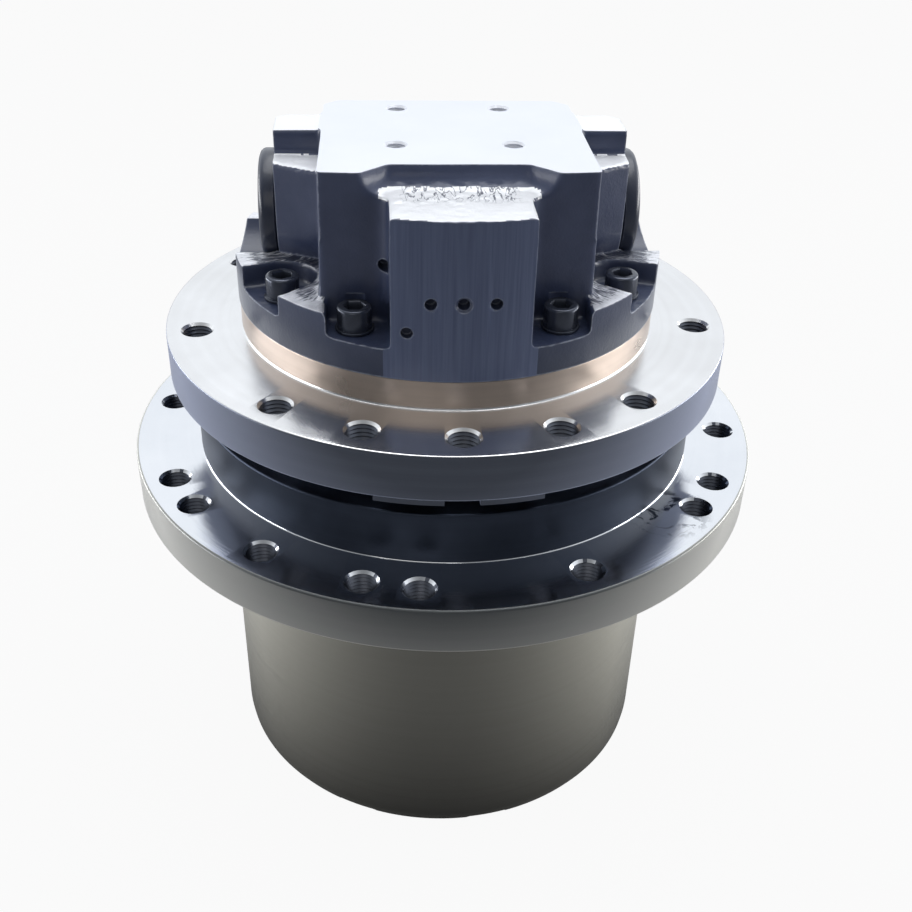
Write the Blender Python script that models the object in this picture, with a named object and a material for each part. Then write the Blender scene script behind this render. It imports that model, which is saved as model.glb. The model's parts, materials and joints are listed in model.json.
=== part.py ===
"""Track drive of an excavator: a hydraulic piston motor on a two-stage planetary hub.

It stands on the foot of its drum, with the motor on top, and its axis is the world's Z axis.
The spindle, the motor and the second planet carrier stay still, and the hub turns round them.
Every length is in metres and every angle in degrees.
"""

import math

import bmesh
import bpy
from mathutils import Matrix, Vector

# Clearances
SEAT_GAP = 0.0003
RUNNING_GAP = 0.0005

# How far a cutter runs past a face, and how deep a joined shape sinks in
CUT_OVERSHOOT = 0.0020
JOIN_DEPTH = 0.0040

# Facets of a full circle
LARGE_CIRCLE = 48
MIDDLE_CIRCLE = 24
SMALL_CIRCLE = 16
HOLE_CIRCLE = 8
SOCKET_CIRCLE = 12

# Frame flange and the pilot above it, both on the spindle
FRAME_FLANGE_TOP = 0.2540
FRAME_FLANGE_OVERHANG = 0.0370
FRAME_FLANGE_THICKNESS = 0.0224
FRAME_PILOT_RADIUS = 0.1030
FRAME_PILOT_HEIGHT = 0.0140
FRAME_HOLE_EDGE_DISTANCE = 0.0150
FRAME_HOLE_RADIUS = 0.0069
FRAME_HOLE_ANGLES = [-90 + 40 * step for step in range(9)] + [-110, -70]
FLANGE_PAD_ANGLES = [(-106.5, -93.5), (-87, -75)]
FLANGE_PAD_EDGE_DISTANCE = 0.0040
FLANGE_PAD_WIDTH = 0.0070
FLANGE_PAD_DEPTH = 0.0050

# Hub: drum, sprocket flange and the pilot above it
DRUM_RADIUS = 0.1170
DRUM_CHAMFER_RADIUS = 0.1125
DRUM_CHAMFER_HEIGHT = 0.0100
DRUM_NOTCH_COUNT = 10
DRUM_NOTCH_FIRST_ANGLE = -80
DRUM_NOTCH_WIDTH = 0.0220
DRUM_NOTCH_DEPTH = 0.0042
SPROCKET_FLANGE_TOP = 0.1903
SPROCKET_FLANGE_OVERHANG = 0.0332
SPROCKET_FLANGE_THICKNESS = 0.0230
SPROCKET_HOLE_EDGE_DISTANCE = 0.0150
SPROCKET_HOLE_RADIUS = 0.0072
SPROCKET_FIRST_HOLE_ANGLE = 292.5
SPROCKET_PILOT_RADIUS = 0.1288
HUB_TOP = 0.2165
HUB_MOUTH_RADIUS = 0.1140

# Gear train
MODULE = 0.003
PRESSURE_ANGLE = 20
ADDENDUM = 0.8 * MODULE
DEDENDUM = 1.05 * MODULE
TOOTH_THINNING = 0.0003
FLANK_POINTS = 2
RING_TEETH = 66
SUN_1_TEETH = 12
SUN_2_TEETH = 18
PLANET_1_COUNT = 3
PLANET_2_COUNT = 3
RING_GEAR_BOTTOM = 0.0270
RING_GEAR_TOP = 0.1030
PLANET_1_BOTTOM = 0.0300
PIN_1_OVERHANG = 0.0020
PLANET_1_WIDTH = 0.0235
PLANET_2_BOTTOM = 0.0670
PLANET_2_WIDTH = 0.0290
PIN_1_RADIUS = 0.0100
PIN_2_RADIUS = 0.0110
CARRIER_1_RADIUS = 0.0780
CARRIER_1_THICKNESS = 0.0100
CARRIER_2_RADIUS = 0.0850
CARRIER_2_THICKNESS = 0.0120
CARRIER_2_BORE_RADIUS = 0.0300
CARRIER_2_SPIGOT_RADIUS = 0.0560
CARRIER_2_SPIGOT_HEIGHT = 0.0100
SUN_2_SPLINE_RADIUS = 0.0200
SUN_2_BORE_RADIUS = 0.0130

# End cover in the foot of the drum, held by a split ring
END_COVER_BOTTOM = 0.0083
END_COVER_THICKNESS = 0.0117
END_COVER_DISH_RADIUS = 0.0850
END_COVER_DISH_DEPTH = 0.0020
THRUST_PAD_RADIUS = 0.0160
RETAINING_RING_HEIGHT = 0.0030
RETAINING_RING_INNER_RADIUS = 0.1030
RETAINING_RING_GROOVE_DEPTH = 0.0025
RETAINING_RING_OPENING = 24
PLUG_CIRCLE_RADIUS = 0.0620
PLUG_HEAD_RADIUS = 0.0110
PLUG_HEAD_HEIGHT = 0.0035
PLUG_SHANK_RADIUS = 0.0090
PLUG_SOCKET_WIDTH = 0.0100
PLUG_SOCKET_DEPTH = 0.0050

# Main bearings, and the nut below them
BEARING_BORE_RADIUS = 0.0800
BEARING_RADIUS = 0.1050
BEARING_WIDTH = 0.0240
BEARING_SHOULDER_HEIGHT = 0.0060
LOWER_BEARING_BOTTOM = 0.1230
BEARING_LAND = 0.0140
BALL_RADIUS = 0.0060
BALL_COUNT = 10
CAGE_WIRE_RADIUS = 0.0016
BALL_SHARES = (-1.0, -0.5, 0.5, 1.0)
BALL_SECTION_POINTS = 5
BEARING_NUT_RADIUS = 0.0930
BEARING_NUT_HEIGHT = 0.0100

# Face seal between the spindle and the hub
SEAL_FACE_HEIGHT = 0.2040
SEAL_RING_INNER_RADIUS = 0.0890
SEAL_RING_HEIGHT = 0.0085
SEAL_RUBBER_RADIUS = 0.0028
SEAL_COLLAR_WALL = 0.0050
SEAL_COLLAR_BOTTOM = 0.2070
SEAL_NECK_RADIUS = 0.0860

# Motor chamber inside the spindle
CHAMBER_RADIUS = 0.0660
CRADLE_BORE_RADIUS = 0.0600
SHAFT_BEARING_RADIUS = 0.0360
SHAFT_BEARING_WIDTH = 0.0180
SHAFT_BEARING_DEPTH = 0.0040
SHAFT_SEAL_RADIUS = 0.0300
SHAFT_SEAL_WIDTH = 0.0070

# Motor shaft
SHAFT_JOURNAL_RADIUS = 0.0175
SHAFT_QUILL_RADIUS = 0.0110
SHAFT_SUN_RADIUS = 0.0087
SHAFT_SPLINE_RADIUS = 0.0140
SHAFT_TIP_RADIUS = 0.0100
SHAFT_JOURNAL_OVERHANG = 0.0010
SHAFT_SPLINE_OVERHANG = 0.0040
TIP_BEARING_RADIUS = 0.0150
TIP_BEARING_WIDTH = 0.0110
TIP_BEARING_DEPTH = 0.0130

# Cylinder block with its pistons pushed in
BLOCK_RADIUS = 0.0440
BLOCK_LENGTH = 0.0470
PISTON_COUNT = 9
PISTON_CIRCLE_RADIUS = 0.0310
PISTON_RADIUS = 0.0075
PISTON_LENGTH = 0.0120
SHOE_RADIUS = 0.0098
SHOE_HEIGHT = 0.0040
VALVE_PLATE_RADIUS = 0.0460
VALVE_PLATE_THICKNESS = 0.0075
VALVE_PLATE_BORE_RADIUS = 0.0140
KIDNEY_HALF_ANGLE = 62
KIDNEY_HALF_WIDTH = 0.0045

# Swash plate, its cradle and the piston that tilts it
SWASH_AXIS_BELOW_BLOCK = 0.0370
SWASH_TILT = 12
SWASH_RADIUS = 0.0460
SWASH_THICKNESS = 0.0080
SWASH_BORE_RADIUS = 0.0220
SWASH_ROCKER_RADIUS = 0.0200
SWASH_ROCKER_INNER = 0.0260
SWASH_ROCKER_OUTER = 0.0400
CRADLE_BELOW_AXIS = 0.0130
CRADLE_FLOOR_THICKNESS = 0.0060
CRADLE_SHAFT_RADIUS = 0.0205
SPEED_PISTON_OFFSET = 0.0360
SPEED_PISTON_RADIUS = 0.0070
SPEED_PISTON_BORE_DEPTH = 0.0060
SPEED_PISTON_CHAMFER = 0.0020

# Parking brake
BRAKE_SEAT_ABOVE_BLOCK_FOOT = 0.0047
BRAKE_PLATE_THICKNESS = 0.0035
BRAKE_DISC_THICKNESS = 0.0030
BRAKE_DISC_RADIUS = 0.0580
BRAKE_INNER_RADIUS = 0.0475
BRAKE_PISTON_HEIGHT = 0.0330
BRAKE_SPRING_THICKNESS = 0.0025

# Motor cover casting; heights are above the frame flange, the front is at -Y
COVER_RADIUS = 0.1035
COVER_FLOOR_HEIGHT = 0.0280
COVER_RIM_HEIGHT = 0.0388
COVER_TOP_HEIGHT = 0.0959
BODY_HALF_WIDTH = 0.0609
BODY_TOP_HALF_WIDTH = 0.0594
BODY_FRONT = -0.0700
BODY_TOP_FRONT = -0.0728
BODY_TOP_CORNER_FRONT = -0.0714
NOTCH_HALF_WIDTH = 0.0420
NOTCH_BACK = -0.0616
NOTCH_COVE_RADIUS = 0.0095
NOTCH_CORNER_RADIUS = 0.0040
COVE_STEPS = 4
BODY_BACK = 0.0336
BODY_BACK_CHAMFER = 0.0070
FRONT_BLOCK_HALF_WIDTH = 0.0301
FRONT_BLOCK_FILLET = 0.0060
SHOULDER_FACE = 0.0812
SHOULDER_LEDGE_HEIGHT = 0.0840
SHOULDER_TOP_HEIGHT = 0.0952
SHOULDER_FRONT = -0.0240
SHOULDER_INNER_FRONT = -0.0357
SHOULDER_BACK = 0.0306
SHOULDER_RISER_FRONT = -0.0126
SHOULDER_RISER_BACK = 0.0126
SHOULDER_CHAMFER = 0.0050
PORT_BLOCK_HALF_WIDTH = 0.0330
PORT_BLOCK_FACE = 0.0880
PORT_BLOCK_HEIGHT = 0.0760
MAIN_PORT_RADIUS = 0.0105
MAIN_PORT_OFFSET = 0.0165
MAIN_PORT_HEIGHT = 0.0580
SMALL_PORT_RADIUS = 0.0055
SMALL_PORT_OFFSET = 0.0190
SMALL_PORT_HEIGHT = 0.0380
PORT_DEPTH = 0.0180
TOP_HOLE_RADIUS = 0.0042
TOP_HOLE_DEPTH = 0.0150
TOP_HOLES = [(-0.0260, -0.0350), (0.0260, -0.0350), (-0.0246, 0.0210), (0.0246, 0.0210)]
GALLERY_HOLE_RADIUS = 0.0026
GALLERY_HOLE_DEPTH = 0.0060
GALLERY_HOLES = [(-0.0133, 0.0504), (0.0004, 0.0504), (0.0140, 0.0504), (-0.0232, 0.0368)]

# Cover bolts and the pockets they stand in
BOLT_CIRCLE_RADIUS = 0.0905
BOLT_ANGLES = [side * step for side in (-1, 1) for step in (30, 60, 120, 150)]
BOLT_RADIUS = 0.0050
BOLT_HEAD_RADIUS = 0.0077
BOLT_HEAD_HEIGHT = 0.0110
BOLT_COLLAR_RADIUS = 0.0086
BOLT_COLLAR_HEIGHT = 0.0010
BOLT_SOCKET_WIDTH = 0.0080
BOLT_SOCKET_DEPTH = 0.0060
BOLT_REACH = 0.0180
SPOT_FACE_CLEARANCE = 0.0004
SPOT_FACE_HEIGHT = 0.0130
CORNER_POCKET_ANGLES = [-120, -60, 60, 120]
CORNER_POCKET_RADIUS = 0.0160
BLOCK_POCKET_ANGLE = 30
BLOCK_POCKET_CLEARANCE = 0.0124

# Counterbalance valve across the cover
VALVE_AXIS_OFFSET = 0.0034
VALVE_AXIS_HEIGHT = 0.0547
SPOOL_RADIUS = 0.0105
SPOOL_LENGTH = 0.0760
SPOOL_NECK_RADIUS = 0.0070
SPOOL_SPRING_RADIUS = 0.0070
SPOOL_SPRING_WIRE = 0.0012
SPOOL_SPRING_TURNS = 3
CAP_RADIUS = 0.0263
CAP_FACE = 0.0897
CAP_RELIEF = 0.0010
CAP_CHAMFER = 0.0025
CAP_SHANK_RADIUS = 0.0180
CAP_SHANK_LENGTH = 0.0200
CAP_SOCKET_WIDTH = 0.0170
CAP_SOCKET_DEPTH = 0.0060

# Sizes worked out from those above
FRAME_FLANGE_RADIUS = FRAME_PILOT_RADIUS + FRAME_FLANGE_OVERHANG
FRAME_HOLE_CIRCLE_RADIUS = FRAME_FLANGE_RADIUS - FRAME_HOLE_EDGE_DISTANCE
FLANGE_PAD_OUTER_RADIUS = FRAME_FLANGE_RADIUS - FLANGE_PAD_EDGE_DISTANCE
FLANGE_PAD_INNER_RADIUS = FLANGE_PAD_OUTER_RADIUS - FLANGE_PAD_WIDTH
SPROCKET_FLANGE_RADIUS = SPROCKET_PILOT_RADIUS + SPROCKET_FLANGE_OVERHANG
SPROCKET_HOLE_CIRCLE_RADIUS = SPROCKET_FLANGE_RADIUS - SPROCKET_HOLE_EDGE_DISTANCE
SPINDLE_TOP = FRAME_FLANGE_TOP + FRAME_PILOT_HEIGHT
COVER_BOTTOM = SPINDLE_TOP + SEAT_GAP
COVER_FLOOR = FRAME_FLANGE_TOP + COVER_FLOOR_HEIGHT
RING_PITCH_RADIUS = MODULE * RING_TEETH / 2
PLANET_1_TEETH = (RING_TEETH - SUN_1_TEETH) // 2
PLANET_2_TEETH = (RING_TEETH - SUN_2_TEETH) // 2
PLANET_1_CIRCLE = MODULE * (SUN_1_TEETH + PLANET_1_TEETH) / 2
PLANET_2_CIRCLE = MODULE * (SUN_2_TEETH + PLANET_2_TEETH) / 2
CARRIER_1_BOTTOM = PLANET_1_BOTTOM + PLANET_1_WIDTH + RUNNING_GAP
CARRIER_1_TOP = CARRIER_1_BOTTOM + CARRIER_1_THICKNESS
CARRIER_2_BOTTOM = PLANET_2_BOTTOM + PLANET_2_WIDTH + RUNNING_GAP
CARRIER_2_TOP = CARRIER_2_BOTTOM + CARRIER_2_THICKNESS
SPINDLE_BOTTOM = CARRIER_2_TOP + SEAT_GAP
END_COVER_TOP = END_COVER_BOTTOM + END_COVER_THICKNESS
SUN_1_BOTTOM = PLANET_1_BOTTOM - PIN_1_OVERHANG
LOWER_BEARING_TOP = LOWER_BEARING_BOTTOM + BEARING_WIDTH
UPPER_BEARING_BOTTOM = LOWER_BEARING_TOP + BEARING_LAND
UPPER_BEARING_TOP = UPPER_BEARING_BOTTOM + BEARING_WIDTH
HUB_BORE = BEARING_RADIUS + SEAT_GAP
SEAL_RUBBER_CIRCLE = HUB_BORE - SEAT_GAP - SEAL_RUBBER_RADIUS
SEAL_RING_OUTER_RADIUS = SEAL_RUBBER_CIRCLE - SEAL_RUBBER_RADIUS - SEAT_GAP
VALVE_PLATE_TOP = COVER_BOTTOM - SEAT_GAP
VALVE_PLATE_BOTTOM = VALVE_PLATE_TOP - VALVE_PLATE_THICKNESS
BLOCK_TOP = VALVE_PLATE_BOTTOM - RUNNING_GAP
BLOCK_BOTTOM = BLOCK_TOP - BLOCK_LENGTH
SHAFT_SPLINE_FOOT = BLOCK_BOTTOM - SHAFT_SPLINE_OVERHANG
CHAMBER_STEP_HEIGHT = BLOCK_BOTTOM + BRAKE_SEAT_ABOVE_BLOCK_FOOT
SWASH_AXIS_HEIGHT = BLOCK_BOTTOM - SWASH_AXIS_BELOW_BLOCK
CRADLE_TOP = SWASH_AXIS_HEIGHT - CRADLE_BELOW_AXIS
CHAMBER_FLOOR = SWASH_AXIS_HEIGHT - SWASH_ROCKER_RADIUS - CRADLE_FLOOR_THICKNESS
SPEED_PISTON_BOTTOM = CHAMBER_FLOOR - SPEED_PISTON_BORE_DEPTH
SHAFT_BEARING_BOTTOM = CHAMBER_FLOOR - SHAFT_BEARING_DEPTH - SHAFT_BEARING_WIDTH
COVER_TOP = FRAME_FLANGE_TOP + COVER_TOP_HEIGHT
COVER_RIM_TOP = FRAME_FLANGE_TOP + COVER_RIM_HEIGHT
COVER_BLOCK_FOOT = COVER_FLOOR - JOIN_DEPTH
FRONT_BLOCK_TOP = COVER_TOP - NOTCH_COVE_RADIUS
SPOT_FACE_RADIUS = BOLT_COLLAR_RADIUS + SPOT_FACE_CLEARANCE
VALVE_AXIS = Vector((0, VALVE_AXIS_OFFSET, FRAME_FLANGE_TOP + VALVE_AXIS_HEIGHT))


def clear_scene():
    for thing in list(bpy.data.objects):
        bpy.data.objects.remove(thing, do_unlink=True)


def material(name, colour, roughness, metallic):
    made = bpy.data.materials.new(name)
    made.use_nodes = True
    shader = made.node_tree.nodes["Principled BSDF"]
    shader.inputs["Base Color"].default_value = (*colour, 1)
    shader.inputs["Roughness"].default_value = roughness
    shader.inputs["Metallic"].default_value = metallic
    made.diffuse_color = (*colour, 1)
    return made


def finished(name, shape, finish, place=(0, 0, 0)):
    """A named object made from a bmesh, smooth where its faces meet at a low angle."""
    bmesh.ops.recalc_face_normals(shape, faces=shape.faces)
    mesh = bpy.data.meshes.new(name)
    shape.to_mesh(mesh)
    shape.free()
    mesh.shade_smooth()
    mesh.set_sharp_from_angle(angle=math.radians(35))
    mesh.materials.append(finish)
    made = bpy.data.objects.new(name, mesh)
    made.location = place
    bpy.context.scene.collection.objects.link(made)
    return made


def copied(name, pattern, place):
    made = bpy.data.objects.new(name, pattern.data)
    made.location = place
    bpy.context.scene.collection.objects.link(made)
    return made


def circle_points(radius, count, centre=(0, 0)):
    steps = [2 * math.pi * index / count for index in range(count)]
    return [(centre[0] + radius * math.cos(a), centre[1] + radius * math.sin(a)) for a in steps]


def around(radius, facets):
    """Corner radius of a faceted bore whose flats lie one seat gap outside a round piece."""
    return (radius + SEAT_GAP) / math.cos(math.pi / facets)


def polar(radius, degrees):
    return radius * math.cos(math.radians(degrees)), radius * math.sin(math.radians(degrees))


def turned_shape(profile, facets, closed=True):
    """Spins a profile of (radius, height) points round Z; an open profile ends on the axis."""
    shape = bmesh.new()
    points = [shape.verts.new((radius, 0, height)) for radius, height in profile]
    pairs = list(zip(points, points[1:]))
    if closed:
        pairs.append((points[-1], points[0]))
    edges = [shape.edges.new(pair) for pair in pairs]
    bmesh.ops.spin(
        shape,
        geom=points + edges,
        axis=(0, 0, 1),
        cent=(0, 0, 0),
        angle=2 * math.pi,
        steps=facets,
        use_merge=True,
    )
    bmesh.ops.remove_doubles(shape, verts=shape.verts, dist=1e-6)
    return shape


def turned(name, profile, facets, finish, closed=True, place=(0, 0, 0)):
    return finished(name, turned_shape(profile, facets, closed), finish, place)


def plate_shape(outline, low, high, holes=()):
    """Extrudes a flat outline with holes from one height to another."""
    shape = bmesh.new()
    edges = []
    for loop in [outline, *holes]:
        points = [shape.verts.new((x, y, low)) for x, y in loop]
        edges += [shape.edges.new(pair) for pair in zip(points, points[1:] + points[:1])]
    bmesh.ops.triangle_fill(shape, use_beauty=True, edges=edges)
    raised = bmesh.ops.extrude_face_region(shape, geom=shape.faces[:])
    lifted = [item for item in raised["geom"] if isinstance(item, bmesh.types.BMVert)]
    bmesh.ops.translate(shape, verts=lifted, vec=(0, 0, high - low))
    return shape


def plate(name, outline, low, high, finish, holes=(), place=(0, 0, 0)):
    return finished(name, plate_shape(outline, low, high, holes), finish, place)


def lofted_shape(loops):
    """Joins loops of equally many points, and closes the first and the last."""
    shape = bmesh.new()
    rows = [[shape.verts.new(point) for point in loop] for loop in loops]
    for lower, upper in zip(rows, rows[1:]):
        for index in range(len(lower)):
            after = (index + 1) % len(lower)
            shape.faces.new((lower[index], lower[after], upper[after], upper[index]))
    shape.faces.new(rows[0])
    shape.faces.new(rows[-1])
    return shape


def box_shape(low, high):
    (x0, y0, z0), (x1, y1, z1) = low, high
    return plate_shape([(x0, y0), (x1, y0), (x1, y1), (x0, y1)], z0, z1)


def rod_shape(radius, start, end, facets):
    """A cylinder from one point to another."""
    start = Vector(start)
    run = Vector(end) - start
    shape = bmesh.new()
    bmesh.ops.create_cone(
        shape,
        cap_ends=True,
        segments=facets,
        radius1=radius,
        radius2=radius,
        depth=run.length,
        matrix=Matrix.Translation(start + run / 2) @ run.to_track_quat("Z", "Y").to_matrix().to_4x4(),
    )
    return shape


def helper(shapes):
    """One hidden object that holds several separate shapes, to cut or to add."""
    whole = bmesh.new()
    for shape in shapes:
        bmesh.ops.recalc_face_normals(shape, faces=shape.faces)
        mesh = bpy.data.meshes.new("shape")
        shape.to_mesh(mesh)
        shape.free()
        whole.from_mesh(mesh)
        bpy.data.meshes.remove(mesh)
    mesh = bpy.data.meshes.new("helper")
    whole.to_mesh(mesh)
    whole.free()
    made = bpy.data.objects.new("helper", mesh)
    made.hide_render = True
    made.display_type = "WIRE"
    bpy.context.scene.collection.objects.link(made)
    made.hide_set(True)
    return made


def boolean(target, tool, operation):
    step = target.modifiers.new(operation.title(), "BOOLEAN")
    step.operation = operation
    step.solver = "EXACT"
    step.object = tool


def cut(target, shapes):
    boolean(target, helper(shapes), "DIFFERENCE")


def join(target, shapes):
    for shape in shapes:
        boolean(target, helper([shape]), "UNION")


def hexagon_points(width, count):
    """A hexagon of a width across flats, with as many points as the circle it meets."""
    points = []
    for index in range(count):
        angle = 2 * math.pi * index / count
        from_flat = (angle % (math.pi / 3)) - math.pi / 6
        reach = width / 2 / math.cos(from_flat)
        points.append((reach * math.cos(angle), reach * math.sin(angle)))
    return points


def socket_screw_shape(steps, top, socket_width, socket_depth):
    """A screw turned from (radius, height) steps, the last at its top, with a hexagon socket."""
    loops = [[(x, y, z) for x, y in circle_points(r, SOCKET_CIRCLE)] for r, z in steps]
    socket = hexagon_points(socket_width, SOCKET_CIRCLE)
    loops.append([(x, y, top) for x, y in socket])
    loops.append([(x, y, top - socket_depth) for x, y in socket])
    return lofted_shape(loops)


def involute(angle):
    return math.tan(angle) - angle


def half_tooth_angle(radius, teeth, change):
    """Half the angle that a tooth fills at a radius, on an involute flank."""
    pitch_radius = MODULE * teeth / 2
    pressure = math.radians(PRESSURE_ANGLE)
    base_radius = pitch_radius * math.cos(pressure)
    here = math.acos(min(1, base_radius / max(radius, base_radius)))
    at_pitch = math.pi / (2 * teeth) + change / (2 * pitch_radius)
    return at_pitch + involute(pressure) - involute(here)


def toothed_outline(teeth, phase, inner, outer, change):
    """Teeth that point outwards, between two radii, with one tooth at the phase angle."""
    radii = [inner + (outer - inner) * step / (FLANK_POINTS - 1) for step in range(FLANK_POINTS)]
    points = []
    for tooth in range(teeth):
        middle = phase + 2 * math.pi * tooth / teeth
        rising = [(r, middle - half_tooth_angle(r, teeth, change)) for r in radii]
        falling = [(r, middle + half_tooth_angle(r, teeth, change)) for r in reversed(radii)]
        points += [(r * math.cos(a), r * math.sin(a)) for r, a in rising + falling]
    return points


def gear_outline(teeth, phase):
    pitch_radius = MODULE * teeth / 2
    return toothed_outline(
        teeth, phase, pitch_radius - DEDENDUM, pitch_radius + ADDENDUM, -TOOTH_THINNING
    )


def planet_phase(angle, teeth):
    """Turn of a planet at an angle on its circle, in mesh with a ring that has a tooth at 0."""
    return angle - (RING_TEETH * angle - math.pi) / teeth


def sun_phase(planet_teeth, sun_teeth):
    return planet_teeth * math.pi / sun_teeth


def add_planets(stage, count, teeth, circle, bottom, width, pin_radius, finish):
    for index in range(count):
        angle = 2 * math.pi * index / count
        plate(
            f"planet_{stage}_{index + 1}",
            gear_outline(teeth, planet_phase(angle, teeth)),
            bottom,
            bottom + width,
            finish,
            holes=[circle_points(pin_radius + RUNNING_GAP, SMALL_CIRCLE)],
            place=(circle * math.cos(angle), circle * math.sin(angle), 0),
        )


def pins_shape(count, circle, radius, low, high):
    places = [polar(circle, 360 * index / count) for index in range(count)]
    return [rod_shape(radius, (x, y, low), (x, y, high), SMALL_CIRCLE) for x, y in places]


def add_gear_train(steel):
    ring_hole = toothed_outline(
        RING_TEETH,
        math.pi / RING_TEETH,
        RING_PITCH_RADIUS - ADDENDUM,
        RING_PITCH_RADIUS + DEDENDUM,
        TOOTH_THINNING,
    )
    plate(
        "ring_gear",
        circle_points(BEARING_RADIUS, LARGE_CIRCLE),
        RING_GEAR_BOTTOM,
        RING_GEAR_TOP,
        steel,
        holes=[ring_hole],
    )
    plate(
        "sun_1",
        gear_outline(SUN_1_TEETH, sun_phase(PLANET_1_TEETH, SUN_1_TEETH)),
        SUN_1_BOTTOM,
        CARRIER_1_BOTTOM,
        steel,
        holes=[circle_points(SHAFT_SUN_RADIUS + SEAT_GAP, SMALL_CIRCLE)],
    )
    add_planets(
        1, PLANET_1_COUNT, PLANET_1_TEETH, PLANET_1_CIRCLE, PLANET_1_BOTTOM, PLANET_1_WIDTH,
        PIN_1_RADIUS, steel,
    )
    add_planets(
        2, PLANET_2_COUNT, PLANET_2_TEETH, PLANET_2_CIRCLE, PLANET_2_BOTTOM, PLANET_2_WIDTH,
        PIN_2_RADIUS, steel,
    )
    carrier = plate(
        "carrier_1",
        circle_points(CARRIER_1_RADIUS, MIDDLE_CIRCLE),
        CARRIER_1_BOTTOM,
        CARRIER_1_TOP,
        steel,
        holes=[circle_points(SUN_2_SPLINE_RADIUS + SEAT_GAP, SMALL_CIRCLE)],
    )
    overlap = CARRIER_1_THICKNESS / 2
    join(
        carrier,
        pins_shape(
            PLANET_1_COUNT, PLANET_1_CIRCLE, PIN_1_RADIUS, SUN_1_BOTTOM, CARRIER_1_BOTTOM + overlap
        ),
    )
    sun = plate(
        "sun_2",
        gear_outline(SUN_2_TEETH, sun_phase(PLANET_2_TEETH, SUN_2_TEETH)),
        CARRIER_1_TOP + RUNNING_GAP,
        CARRIER_2_BOTTOM,
        steel,
        holes=[circle_points(SUN_2_BORE_RADIUS, SMALL_CIRCLE)],
    )
    join(
        sun,
        [
            plate_shape(
                circle_points(SUN_2_SPLINE_RADIUS, SMALL_CIRCLE),
                CARRIER_1_BOTTOM,
                CARRIER_1_TOP + 2 * RUNNING_GAP,
                [circle_points(SUN_2_BORE_RADIUS, SMALL_CIRCLE)],
            )
        ],
    )
    add_fixed_carrier(steel)


def add_fixed_carrier(steel):
    """The second carrier: its spigot is held in the spindle's lower end."""
    spigot_top = CARRIER_2_TOP + CARRIER_2_SPIGOT_HEIGHT
    carrier = turned(
        "carrier_2",
        [
            (CARRIER_2_BORE_RADIUS, spigot_top),
            (CARRIER_2_SPIGOT_RADIUS, spigot_top),
            (CARRIER_2_SPIGOT_RADIUS, CARRIER_2_TOP),
            (CARRIER_2_RADIUS, CARRIER_2_TOP),
            (CARRIER_2_RADIUS, CARRIER_2_BOTTOM),
            (CARRIER_2_BORE_RADIUS, CARRIER_2_BOTTOM),
        ],
        MIDDLE_CIRCLE,
        steel,
    )
    overlap = CARRIER_2_THICKNESS / 2
    join(
        carrier,
        pins_shape(
            PLANET_2_COUNT,
            PLANET_2_CIRCLE,
            PIN_2_RADIUS,
            PLANET_2_BOTTOM - RUNNING_GAP,
            CARRIER_2_BOTTOM + overlap,
        ),
    )


def arc_points(radius, first, last, count):
    step = (last - first) / (count - 1)
    return [polar(radius, first + step * index) for index in range(count)]


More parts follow.
